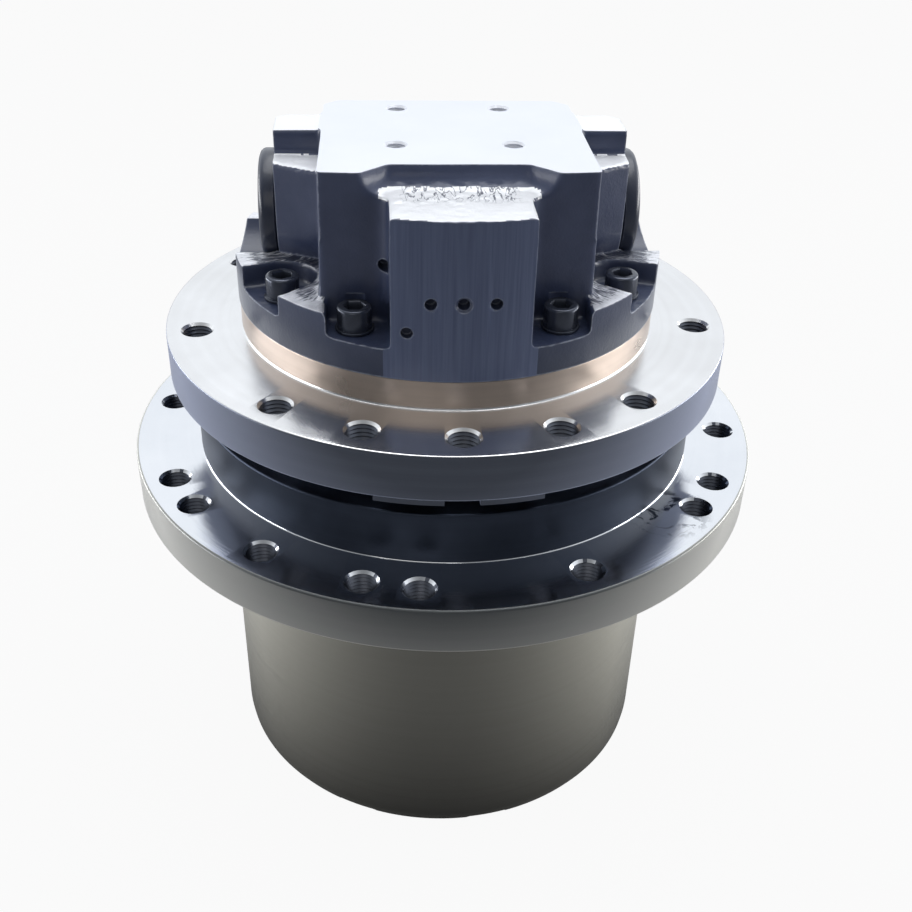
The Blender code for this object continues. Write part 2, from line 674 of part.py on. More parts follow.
def add_spindle(machined):
    """Frame flange, bearing seat and motor chamber in one forging."""
    flange_bottom = FRAME_FLANGE_TOP - FRAME_FLANGE_THICKNESS
    collar_radius = HUB_BORE + SEAL_COLLAR_WALL
    seal_roof = SEAL_FACE_HEIGHT + SEAL_RING_HEIGHT + 2 * SEAT_GAP
    spigot_roof = CARRIER_2_TOP + CARRIER_2_SPIGOT_HEIGHT + SEAT_GAP
    seal_seat = spigot_roof + SHAFT_SEAL_WIDTH
    shaft_hole = SHAFT_JOURNAL_RADIUS + 2 * RUNNING_GAP
    spindle = turned(
        "spindle",
        [
            (CHAMBER_RADIUS, SPINDLE_TOP),
            (FRAME_PILOT_RADIUS, SPINDLE_TOP),
            (FRAME_PILOT_RADIUS, FRAME_FLANGE_TOP),
            (FRAME_FLANGE_RADIUS, FRAME_FLANGE_TOP),
            (FRAME_FLANGE_RADIUS, flange_bottom),
            (collar_radius, flange_bottom),
            (collar_radius, SEAL_COLLAR_BOTTOM),
            (HUB_BORE, SEAL_COLLAR_BOTTOM),
            (HUB_BORE, seal_roof),
            (SEAL_NECK_RADIUS, seal_roof),
            (SEAL_NECK_RADIUS, UPPER_BEARING_TOP + SEAT_GAP),
            (BEARING_BORE_RADIUS, UPPER_BEARING_TOP + SEAT_GAP),
            (BEARING_BORE_RADIUS, SPINDLE_BOTTOM),
            (CARRIER_2_SPIGOT_RADIUS + SEAT_GAP, SPINDLE_BOTTOM),
            (CARRIER_2_SPIGOT_RADIUS + SEAT_GAP, spigot_roof),
            (SHAFT_SEAL_RADIUS + SEAT_GAP, spigot_roof),
            (SHAFT_SEAL_RADIUS + SEAT_GAP, seal_seat),
            (shaft_hole, seal_seat),
            (shaft_hole, SHAFT_BEARING_BOTTOM),
            (SHAFT_BEARING_RADIUS + SEAT_GAP, SHAFT_BEARING_BOTTOM),
            (SHAFT_BEARING_RADIUS + SEAT_GAP, CHAMBER_FLOOR),
            (CRADLE_BORE_RADIUS, CHAMBER_FLOOR),
            (CRADLE_BORE_RADIUS, CHAMBER_STEP_HEIGHT),
            (CHAMBER_RADIUS, CHAMBER_STEP_HEIGHT),
        ],
        LARGE_CIRCLE,
        machined,
    )
    pads = []
    for first, last in FLANGE_PAD_ANGLES:
        outer = arc_points(FLANGE_PAD_OUTER_RADIUS, first, last, 4)
        inner = arc_points(FLANGE_PAD_INNER_RADIUS, last, first, 4)
        middle = FRAME_FLANGE_TOP - FRAME_FLANGE_THICKNESS / 2
        pads.append(plate_shape(outer + inner, flange_bottom - FLANGE_PAD_DEPTH, middle))
    join(spindle, pads)
    below = flange_bottom - CUT_OVERSHOOT
    above = FRAME_FLANGE_TOP + CUT_OVERSHOOT
    bolt_hole = around(BOLT_RADIUS, HOLE_CIRCLE)
    holes = []
    for angle in FRAME_HOLE_ANGLES:
        x, y = polar(FRAME_HOLE_CIRCLE_RADIUS, angle)
        holes.append(rod_shape(FRAME_HOLE_RADIUS, (x, y, below), (x, y, above), HOLE_CIRCLE))
    for angle in BOLT_ANGLES:
        x, y = polar(BOLT_CIRCLE_RADIUS, angle - 90)
        foot = SPINDLE_TOP - BOLT_REACH - 2 * SEAT_GAP
        mouth = SPINDLE_TOP + CUT_OVERSHOOT
        holes.append(rod_shape(bolt_hole, (x, y, foot), (x, y, mouth), HOLE_CIRCLE))
    piston_foot = SPEED_PISTON_BOTTOM - SEAT_GAP
    holes.append(
        rod_shape(
            SPEED_PISTON_RADIUS + SEAT_GAP,
            (0, SPEED_PISTON_OFFSET + SPEED_PISTON_RADIUS, piston_foot),
            (0, SPEED_PISTON_OFFSET + SPEED_PISTON_RADIUS, CHAMBER_FLOOR + CUT_OVERSHOOT),
            HOLE_CIRCLE,
        )
    )
    cut(spindle, holes)


def sprocket_hole_angles():
    """Two patterns in one circle, of twelve and of nine, that share three holes."""
    angles = {30 * step for step in range(12)} | {40 * step for step in range(9)}
    return [SPROCKET_FIRST_HOLE_ANGLE + angle for angle in sorted(angles)]


def add_hub(cast_steel):
    flange_bottom = SPROCKET_FLANGE_TOP - SPROCKET_FLANGE_THICKNESS
    ring_top = END_COVER_BOTTOM - SEAT_GAP
    groove_bottom = ring_top - RETAINING_RING_HEIGHT - SEAT_GAP
    groove_radius = HUB_BORE + RETAINING_RING_GROOVE_DEPTH
    land_radius = BEARING_RADIUS - BEARING_SHOULDER_HEIGHT
    hub = turned(
        "hub",
        [
            (HUB_MOUTH_RADIUS, HUB_TOP),
            (SPROCKET_PILOT_RADIUS, HUB_TOP),
            (SPROCKET_PILOT_RADIUS, SPROCKET_FLANGE_TOP),
            (SPROCKET_FLANGE_RADIUS, SPROCKET_FLANGE_TOP),
            (SPROCKET_FLANGE_RADIUS, flange_bottom),
            (DRUM_RADIUS, flange_bottom),
            (DRUM_RADIUS, DRUM_CHAMFER_HEIGHT),
            (DRUM_CHAMFER_RADIUS, 0),
            (HUB_BORE, 0),
            (HUB_BORE, groove_bottom),
            (groove_radius, groove_bottom),
            (groove_radius, ring_top + SEAT_GAP),
            (HUB_BORE, ring_top + SEAT_GAP),
            (HUB_BORE, LOWER_BEARING_TOP + SEAT_GAP),
            (land_radius, LOWER_BEARING_TOP + SEAT_GAP),
            (land_radius, UPPER_BEARING_BOTTOM - SEAT_GAP),
            (HUB_BORE, UPPER_BEARING_BOTTOM - SEAT_GAP),
            (HUB_BORE, SEAL_COLLAR_BOTTOM - 2 * RUNNING_GAP),
            (HUB_MOUTH_RADIUS, SEAL_COLLAR_BOTTOM - 2 * RUNNING_GAP),
        ],
        LARGE_CIRCLE,
        cast_steel,
    )
    holes = []
    for angle in sprocket_hole_angles():
        x, y = polar(SPROCKET_HOLE_CIRCLE_RADIUS, angle)
        low, high = flange_bottom - CUT_OVERSHOOT, SPROCKET_FLANGE_TOP + CUT_OVERSHOOT
        holes.append(rod_shape(SPROCKET_HOLE_RADIUS, (x, y, low), (x, y, high), HOLE_CIRCLE))
    for index in range(DRUM_NOTCH_COUNT):
        notch = box_shape(
            (HUB_BORE - CUT_OVERSHOOT, -DRUM_NOTCH_WIDTH / 2, -CUT_OVERSHOOT),
            (DRUM_RADIUS + CUT_OVERSHOOT, DRUM_NOTCH_WIDTH / 2, DRUM_NOTCH_DEPTH),
        )
        angle = math.radians(DRUM_NOTCH_FIRST_ANGLE + 360 * index / DRUM_NOTCH_COUNT)
        bmesh.ops.rotate(notch, verts=notch.verts, matrix=Matrix.Rotation(angle, 3, "Z"))
        holes.append(notch)
    cut(hub, holes)


def add_end_cover(cast_steel, steel):
    radius = HUB_BORE - SEAT_GAP
    dish = END_COVER_BOTTOM + END_COVER_DISH_DEPTH
    cover = turned(
        "end_cover",
        [
            (0, SUN_1_BOTTOM - RUNNING_GAP),
            (THRUST_PAD_RADIUS, SUN_1_BOTTOM - RUNNING_GAP),
            (THRUST_PAD_RADIUS, END_COVER_TOP),
            (radius, END_COVER_TOP),
            (radius, END_COVER_BOTTOM),
            (END_COVER_DISH_RADIUS, END_COVER_BOTTOM),
            (END_COVER_DISH_RADIUS - END_COVER_DISH_DEPTH, dish),
            (0, dish),
        ],
        LARGE_CIRCLE,
        cast_steel,
        closed=False,
    )
    names = ("fill_plug", "drain_plug")
    places = [(0, PLUG_CIRCLE_RADIUS), (0, -PLUG_CIRCLE_RADIUS)]
    cut(
        cover,
        [
            rod_shape(
                around(PLUG_SHANK_RADIUS, HOLE_CIRCLE),
                (x, y, END_COVER_BOTTOM - CUT_OVERSHOOT),
                (x, y, END_COVER_TOP + CUT_OVERSHOOT),
                HOLE_CIRCLE,
            )
            for x, y in places
        ],
    )
    head_top = dish - SEAT_GAP
    head_face = head_top - PLUG_HEAD_HEIGHT
    steps = [
        (PLUG_SHANK_RADIUS, END_COVER_TOP),
        (PLUG_SHANK_RADIUS, head_top),
        (PLUG_HEAD_RADIUS, head_top),
        (PLUG_HEAD_RADIUS, head_face),
    ]
    for name, (x, y) in zip(names, places):
        shape = socket_screw_shape(steps, head_face, PLUG_SOCKET_WIDTH, -PLUG_SOCKET_DEPTH)
        finished(name, shape, steel, (x, y, 0))
    ring_top = END_COVER_BOTTOM - SEAT_GAP
    first = RETAINING_RING_OPENING / 2 + 90
    last = first + 360 - RETAINING_RING_OPENING
    outer_radius = HUB_BORE + RETAINING_RING_GROOVE_DEPTH - SEAT_GAP
    outer = arc_points(outer_radius, first, last, MIDDLE_CIRCLE)
    inner = arc_points(RETAINING_RING_INNER_RADIUS, last, first, MIDDLE_CIRCLE)
    plate("retaining_ring", outer + inner, ring_top - RETAINING_RING_HEIGHT, ring_top, steel)


def ball_set_shape(middle_radius, height):
    """Balls strung on the ring of their cage, as one closed ring of varying thickness."""
    reach = math.asin(BALL_RADIUS / middle_radius)
    stations = []
    for index in range(BALL_COUNT):
        middle = 2 * math.pi * index / BALL_COUNT
        for share in BALL_SHARES:
            ball = BALL_RADIUS * math.sqrt(1 - share * share)
            stations.append((middle + share * reach, max(ball, CAGE_WIRE_RADIUS)))
    shape = bmesh.new()
    rows = []
    for angle, radius in stations:
        row = []
        for index in range(BALL_SECTION_POINTS):
            turn = 2 * math.pi * index / BALL_SECTION_POINTS
            out = middle_radius + radius * math.cos(turn)
            place = (out * math.cos(angle), out * math.sin(angle), height + radius * math.sin(turn))
            row.append(shape.verts.new(place))
        rows.append(row)
    for here, there in zip(rows, rows[1:] + rows[:1]):
        for index in range(BALL_SECTION_POINTS):
            after = (index + 1) % BALL_SECTION_POINTS
            shape.faces.new((here[index], here[after], there[after], there[index]))
    return shape


def add_main_bearings(bearing_steel, steel):
    middle_radius = (BEARING_BORE_RADIUS + BEARING_RADIUS) / 2
    track = BALL_RADIUS + RUNNING_GAP
    bore = around(BEARING_BORE_RADIUS, MIDDLE_CIRCLE)
    for name, bottom in (("lower", LOWER_BEARING_BOTTOM), ("upper", UPPER_BEARING_BOTTOM)):
        top = bottom + BEARING_WIDTH
        middle = (bottom + top) / 2
        for side, wall, kind in ((-1, bore, "inner"), (1, BEARING_RADIUS, "outer")):
            turned(
                f"{name}_bearing_{kind}_ring",
                [
                    (wall, top),
                    (middle_radius + side * track, top),
                    (middle_radius + side * track, bottom),
                    (wall, bottom),
                ],
                MIDDLE_CIRCLE,
                bearing_steel,
            )
        finished(f"{name}_bearing_balls", ball_set_shape(middle_radius, middle), bearing_steel)
    nut_top = LOWER_BEARING_BOTTOM - SEAT_GAP
    turned(
        "bearing_nut",
        [
            (bore, nut_top),
            (BEARING_NUT_RADIUS, nut_top),
            (BEARING_NUT_RADIUS, nut_top - BEARING_NUT_HEIGHT),
            (bore, nut_top - BEARING_NUT_HEIGHT),
        ],
        MIDDLE_CIRCLE,
        steel,
    )


def add_face_seal(bearing_steel, rubber):
    """Two lapped rings that meet face to face, each pressed by its rubber ring."""
    for side, name in ((1, "upper"), (-1, "lower")):
        face = SEAL_FACE_HEIGHT + side * SEAT_GAP / 2
        back = SEAL_FACE_HEIGHT + side * SEAL_RING_HEIGHT
        turned(
            f"{name}_seal_ring",
            [
                (SEAL_RING_INNER_RADIUS, back),
                (SEAL_RING_OUTER_RADIUS, back),
                (SEAL_RING_OUTER_RADIUS, face),
                (SEAL_RING_INNER_RADIUS, face),
            ],
            MIDDLE_CIRCLE,
            bearing_steel,
        )
        middle = back - side * SEAL_RUBBER_RADIUS
        section = [
            (SEAL_RUBBER_CIRCLE + x, middle + y) for x, y in circle_points(SEAL_RUBBER_RADIUS, 4)
        ]
        turned(f"{name}_seal_rubber", section, MIDDLE_CIRCLE, rubber)


def add_shaft(steel, bearing_steel, rubber):
    seal_bottom = CARRIER_2_TOP + CARRIER_2_SPIGOT_HEIGHT + 2 * SEAT_GAP
    journal_bottom = seal_bottom - SHAFT_JOURNAL_OVERHANG
    tip_top = COVER_BOTTOM + TIP_BEARING_DEPTH - 2 * SEAT_GAP
    turned(
        "motor_shaft",
        [
            (0, tip_top),
            (SHAFT_TIP_RADIUS, tip_top),
            (SHAFT_TIP_RADIUS, BLOCK_TOP),
            (SHAFT_SPLINE_RADIUS, BLOCK_TOP),
            (SHAFT_SPLINE_RADIUS, SHAFT_SPLINE_FOOT),
            (SHAFT_JOURNAL_RADIUS, SHAFT_SPLINE_FOOT),
            (SHAFT_JOURNAL_RADIUS, journal_bottom),
            (SHAFT_QUILL_RADIUS, journal_bottom),
            (SHAFT_QUILL_RADIUS, CARRIER_1_BOTTOM + SEAT_GAP),
            (SHAFT_SUN_RADIUS, CARRIER_1_BOTTOM + SEAT_GAP),
            (SHAFT_SUN_RADIUS, SUN_1_BOTTOM),
            (0, SUN_1_BOTTOM),
        ],
        SMALL_CIRCLE,
        steel,
        closed=False,
    )
    bearings = (
        ("shaft_bearing", SHAFT_JOURNAL_RADIUS, SHAFT_BEARING_RADIUS, SHAFT_BEARING_BOTTOM + SEAT_GAP,
         SHAFT_BEARING_WIDTH - SEAT_GAP, bearing_steel),
        ("shaft_tip_bearing", SHAFT_TIP_RADIUS, TIP_BEARING_RADIUS, COVER_BOTTOM + SEAT_GAP,
         TIP_BEARING_WIDTH, bearing_steel),
        ("shaft_seal", SHAFT_JOURNAL_RADIUS, SHAFT_SEAL_RADIUS, seal_bottom,
         SHAFT_SEAL_WIDTH - 2 * SEAT_GAP, rubber),
    )
    for name, shaft_radius, radius, bottom, width, finish in bearings:
        bore = shaft_radius + RUNNING_GAP
        plate(
            name,
            circle_points(radius, MIDDLE_CIRCLE),
            bottom,
            bottom + width,
            finish,
            holes=[circle_points(bore, SMALL_CIRCLE)],
        )


def add_rotating_group(steel, bronze):
    """Cylinder block with nine pistons and their shoes at its foot, on a valve plate."""
    block = plate(
        "cylinder_block",
        circle_points(BLOCK_RADIUS, MIDDLE_CIRCLE),
        BLOCK_BOTTOM,
        BLOCK_TOP,
        steel,
        holes=[circle_points(SHAFT_SPLINE_RADIUS + SEAT_GAP, SMALL_CIRCLE)],
    )
    pistons = []
    for index in range(PISTON_COUNT):
        x, y = polar(PISTON_CIRCLE_RADIUS, 360 * index / PISTON_COUNT)
        foot = BLOCK_BOTTOM - PISTON_LENGTH
        steps = [
            (SHOE_RADIUS, foot),
            (PISTON_RADIUS, foot + SHOE_HEIGHT),
            (PISTON_RADIUS, BLOCK_BOTTOM + CUT_OVERSHOOT),
        ]
        loops = [[(x + px, y + py, z) for px, py in circle_points(r, HOLE_CIRCLE)] for r, z in steps]
        pistons.append(lofted_shape(loops))
    boolean(block, helper(pistons), "UNION")
    kidneys = []
    for middle in (0, 180):
        ends = middle - KIDNEY_HALF_ANGLE, middle + KIDNEY_HALF_ANGLE
        outer = arc_points(PISTON_CIRCLE_RADIUS + KIDNEY_HALF_WIDTH, *ends, 8)
        inner = arc_points(PISTON_CIRCLE_RADIUS - KIDNEY_HALF_WIDTH, *reversed(ends), 8)
        kidneys.append(outer + inner)
    plate(
        "valve_plate",
        circle_points(VALVE_PLATE_RADIUS, MIDDLE_CIRCLE),
        VALVE_PLATE_BOTTOM,
        VALVE_PLATE_TOP,
        bronze,
        holes=[circle_points(VALVE_PLATE_BORE_RADIUS, SMALL_CIRCLE), *kidneys],
    )


def add_swash_plate(steel, bronze):
    """The plate rocks about the X axis on two half-round runners in its cradle."""
    place = (0, 0, SWASH_AXIS_HEIGHT)
    swash = plate(
        "swash_plate",
        circle_points(SWASH_RADIUS, MIDDLE_CIRCLE),
        0,
        SWASH_THICKNESS,
        steel,
        holes=[circle_points(SWASH_BORE_RADIUS, SMALL_CIRCLE)],
        place=place,
    )
    swash.rotation_euler.x = -math.radians(SWASH_TILT)
    bpy.context.view_layer.update()
    for side in (-1, 1):
        half_round = arc_points(SWASH_ROCKER_RADIUS, 180, 360, SOCKET_CIRCLE + 1)
        ends = [side * SWASH_ROCKER_INNER, side * SWASH_ROCKER_OUTER]
        loops = [[(x, y, z) for y, z in half_round + [(0, SWASH_THICKNESS / 2)]] for x in ends]
        runner = lofted_shape(loops)
        bmesh.ops.transform(runner, verts=runner.verts, matrix=swash.matrix_world)
        join(swash, [runner])
    cradle = plate(
        "swash_cradle",
        circle_points(CRADLE_BORE_RADIUS - SEAT_GAP, MIDDLE_CIRCLE),
        CHAMBER_FLOOR + SEAT_GAP,
        CRADLE_TOP,
        bronze,
        holes=[circle_points(CRADLE_SHAFT_RADIUS, SMALL_CIRCLE)],
    )
    groove = rod_shape(
        SWASH_ROCKER_RADIUS + RUNNING_GAP,
        (-CRADLE_BORE_RADIUS, 0, SWASH_AXIS_HEIGHT),
        (CRADLE_BORE_RADIUS, 0, SWASH_AXIS_HEIGHT),
        MIDDLE_CIRCLE,
    )
    piston_y = SPEED_PISTON_OFFSET + SPEED_PISTON_RADIUS
    bore = rod_shape(
        SPEED_PISTON_RADIUS + SEAT_GAP,
        (0, piston_y, CHAMBER_FLOOR - CUT_OVERSHOOT),
        (0, piston_y, CRADLE_TOP + CUT_OVERSHOOT),
        HOLE_CIRCLE,
    )
    cut(cradle, [groove, bore])
    tilt = math.radians(SWASH_TILT)
    plate_underside = SWASH_AXIS_HEIGHT - (piston_y + SPEED_PISTON_RADIUS) * math.tan(tilt)
    piston_top = plate_underside - 2 * SEAT_GAP
    turned(
        "speed_piston",
        [
            (0, piston_top),
            (SPEED_PISTON_RADIUS - SPEED_PISTON_CHAMFER, piston_top),
            (SPEED_PISTON_RADIUS, piston_top - SPEED_PISTON_CHAMFER),
            (SPEED_PISTON_RADIUS, SPEED_PISTON_BOTTOM),
            (0, SPEED_PISTON_BOTTOM),
        ],
        HOLE_CIRCLE,
        steel,
        closed=False,
        place=(0, piston_y, 0),
    )


def add_brake(steel, friction):
    """A disc on the block between a fixed plate and the spring-loaded piston."""
    seat = CHAMBER_STEP_HEIGHT + SEAT_GAP
    disc_bottom = seat + BRAKE_PLATE_THICKNESS + SEAT_GAP
    piston_bottom = disc_bottom + BRAKE_DISC_THICKNESS + SEAT_GAP
    piston_top = piston_bottom + BRAKE_PISTON_HEIGHT
    outer = circle_points(CHAMBER_RADIUS - SEAT_GAP, MIDDLE_CIRCLE)
    inner = circle_points(BRAKE_INNER_RADIUS, MIDDLE_CIRCLE)
    plate("brake_plate", outer, seat, seat + BRAKE_PLATE_THICKNESS, steel, holes=[inner])
    plate(
        "brake_disc",
        circle_points(BRAKE_DISC_RADIUS, MIDDLE_CIRCLE),
        disc_bottom,
        disc_bottom + BRAKE_DISC_THICKNESS,
        friction,
        holes=[circle_points(BLOCK_RADIUS + SEAT_GAP, MIDDLE_CIRCLE)],
    )
    plate("brake_piston", outer, piston_bottom, piston_top, steel, holes=[inner])
    spring_foot = piston_top + SEAT_GAP
    top = COVER_BOTTOM - SEAT_GAP
    turned(
        "brake_spring",
        [
            (BRAKE_INNER_RADIUS, top),
            (CHAMBER_RADIUS - SEAT_GAP, spring_foot + BRAKE_SPRING_THICKNESS),
            (CHAMBER_RADIUS - SEAT_GAP, spring_foot),
            (BRAKE_INNER_RADIUS, top - BRAKE_SPRING_THICKNESS),
        ],
        MIDDLE_CIRCLE,
        steel,
    )


def body_shape():
    """The main block of the cover."""
    loops = []
    for height, half, front, corner_front in (
        (COVER_BLOCK_FOOT, BODY_HALF_WIDTH, BODY_FRONT, BODY_FRONT),
        (COVER_TOP, BODY_TOP_HALF_WIDTH, BODY_TOP_FRONT, BODY_TOP_CORNER_FRONT),
    ):
        right = [
            (NOTCH_HALF_WIDTH, front),
            (half, corner_front),
            (half, BODY_BACK - BODY_BACK_CHAMFER),
            (half - BODY_BACK_CHAMFER, BODY_BACK),
        ]
        left = [(-x, y) for x, y in reversed(right)]
        loops.append([(x, y, height) for x, y in right + left])
    return lofted_shape(loops)


def notch_shape():
    """Cutter for the hollow above the front block: a cove whose sides slant in to its back."""
    slant = (NOTCH_HALF_WIDTH - FRONT_BLOCK_HALF_WIDTH) / (NOTCH_BACK - BODY_TOP_FRONT)
    in_front = BODY_TOP_FRONT - JOIN_DEPTH
    levels = []
    for step in range(COVE_STEPS + 1):
        angle = math.pi / 2 * step / COVE_STEPS
        back = NOTCH_BACK - NOTCH_COVE_RADIUS * (1 - math.sin(angle))
        height = COVER_TOP - NOTCH_COVE_RADIUS * math.cos(angle)
        levels.append((back, height, NOTCH_CORNER_RADIUS * (1 - math.sin(angle))))
    levels.append((NOTCH_BACK, COVER_TOP + CUT_OVERSHOOT, 0))
    loops = []
    for back, height, inset in levels:
        right = [
            (FRONT_BLOCK_HALF_WIDTH + slant * (NOTCH_BACK - y) - inset, y) for y in (in_front, back)
        ]
        left = [(-x, y) for x, y in reversed(right)]
        loops.append([(x, y, height) for x, y in right + left])
    return lofted_shape(loops)


def front_block_shape():
    """The block on the rim's front, with a fillet on each side where it meets the body."""
    rise = (FRONT_BLOCK_TOP - COVER_BLOCK_FOOT) / (COVER_TOP - COVER_BLOCK_FOOT)
    loops = []
    for height, front in (
        (COVER_BLOCK_FOOT, BODY_FRONT),
        (FRONT_BLOCK_TOP, BODY_FRONT + rise * (BODY_TOP_FRONT - BODY_FRONT)),
    ):
        centre = (FRONT_BLOCK_HALF_WIDTH + FRONT_BLOCK_FILLET, front - FRONT_BLOCK_FILLET)
        fillet = arc_points(FRONT_BLOCK_FILLET, 180, 90, COVE_STEPS)
        right = [(FRONT_BLOCK_HALF_WIDTH, -COVER_RADIUS - JOIN_DEPTH)]
        right += [(centre[0] + x, centre[1] + y) for x, y in fillet]
        right.append((centre[0], front + JOIN_DEPTH / 2))
        left = [(-x, y) for x, y in reversed(right)]
        loops.append([(x, y, height) for x, y in right + left])
    return lofted_shape(loops)


def valve_housing_shape(side):
    """Flat above the valve's axis and half round below it, widest where it meets the body."""
    top = FRAME_FLANGE_TOP + SHOULDER_LEDGE_HEIGHT
    axis_y, axis_z = VALVE_AXIS.y, VALVE_AXIS.z
    depth = SHOULDER_BACK - axis_y
    loops = []
    for x, front in (
        (BODY_TOP_HALF_WIDTH - JOIN_DEPTH, SHOULDER_INNER_FRONT),
        (BODY_HALF_WIDTH, SHOULDER_INNER_FRONT),
        (SHOULDER_FACE, SHOULDER_FRONT),
    ):
        section = [(SHOULDER_BACK, top), (front, top)]
        for step in range(2 * COVE_STEPS + 1):
            angle = math.pi * (1 + step / (2 * COVE_STEPS))
            reach = axis_y - front if step < COVE_STEPS else depth
            section.append((axis_y + reach * math.cos(angle), axis_z + depth * math.sin(angle)))
        loops.append([(side * x, y, z) for y, z in section])
    return lofted_shape(loops)


def valve_pad_shape(side):
    """The raised pad on top of the valve housing."""
    inner = side * (BODY_TOP_HALF_WIDTH - JOIN_DEPTH)
    outer = side * SHOULDER_FACE
    outline = [
        (inner, SHOULDER_RISER_FRONT),
        (outer, SHOULDER_RISER_FRONT),
        (outer, SHOULDER_RISER_BACK - SHOULDER_CHAMFER),
        (outer - side * SHOULDER_CHAMFER, SHOULDER_RISER_BACK),
        (inner, SHOULDER_RISER_BACK),
    ]
    low = FRAME_FLANGE_TOP + SHOULDER_LEDGE_HEIGHT - JOIN_DEPTH
    return plate_shape(outline, low, FRAME_FLANGE_TOP + SHOULDER_TOP_HEIGHT)


def pocket_shapes():
    """Pockets open to the outside: round and square ones for the bolts, and one before the ports."""
    above = COVER_RIM_TOP + CUT_OVERSHOOT
    outside = COVER_RADIUS + 2 * JOIN_DEPTH
    half_angle = math.degrees(math.asin(CORNER_POCKET_RADIUS / BOLT_CIRCLE_RADIUS))
    ports_half = PORT_BLOCK_HALF_WIDTH + JOIN_DEPTH
    ports_low = (-ports_half, PORT_BLOCK_FACE - JOIN_DEPTH, COVER_FLOOR)
    shapes = [box_shape(ports_low, (ports_half, outside, above))]
    for angle in CORNER_POCKET_ANGLES:
        x, y = polar(BOLT_CIRCLE_RADIUS, angle - 90)
        back = arc_points(CORNER_POCKET_RADIUS, angle + half_angle, angle + 180 - half_angle, 9)
        outline = [(x + dx, y + dy) for dx, dy in back]
        outline += [polar(outside, angle - 90 - half_angle), polar(outside, angle - 90 + half_angle)]
        shapes.append(plate_shape(outline, COVER_FLOOR, above))
    bolt_x, bolt_y = polar(BOLT_CIRCLE_RADIUS, 90 - BLOCK_POCKET_ANGLE)
    far_x = bolt_x + BLOCK_POCKET_CLEARANCE
    far_y = bolt_y - BLOCK_POCKET_CLEARANCE
    for side in (-1, 1):
        for half_width, near, far in (
            (FRONT_BLOCK_HALF_WIDTH, -outside, BODY_FRONT + JOIN_DEPTH),
            (PORT_BLOCK_HALF_WIDTH, far_y, outside),
        ):
            low_x, high_x = sorted((side * half_width, side * far_x))
            shapes.append(box_shape((low_x, near, COVER_FLOOR), (high_x, far, above)))
    return shapes


def turning_shape():
    """Cutter that turns the cover down to its radius."""
    low, high = COVER_BOTTOM - CUT_OVERSHOOT, COVER_TOP + CUT_OVERSHOOT
    outer = COVER_RADIUS + 3 * JOIN_DEPTH
    profile = [(COVER_RADIUS, low), (outer, low), (outer, high), (COVER_RADIUS, high)]
    return turned_shape(profile, LARGE_CIRCLE)


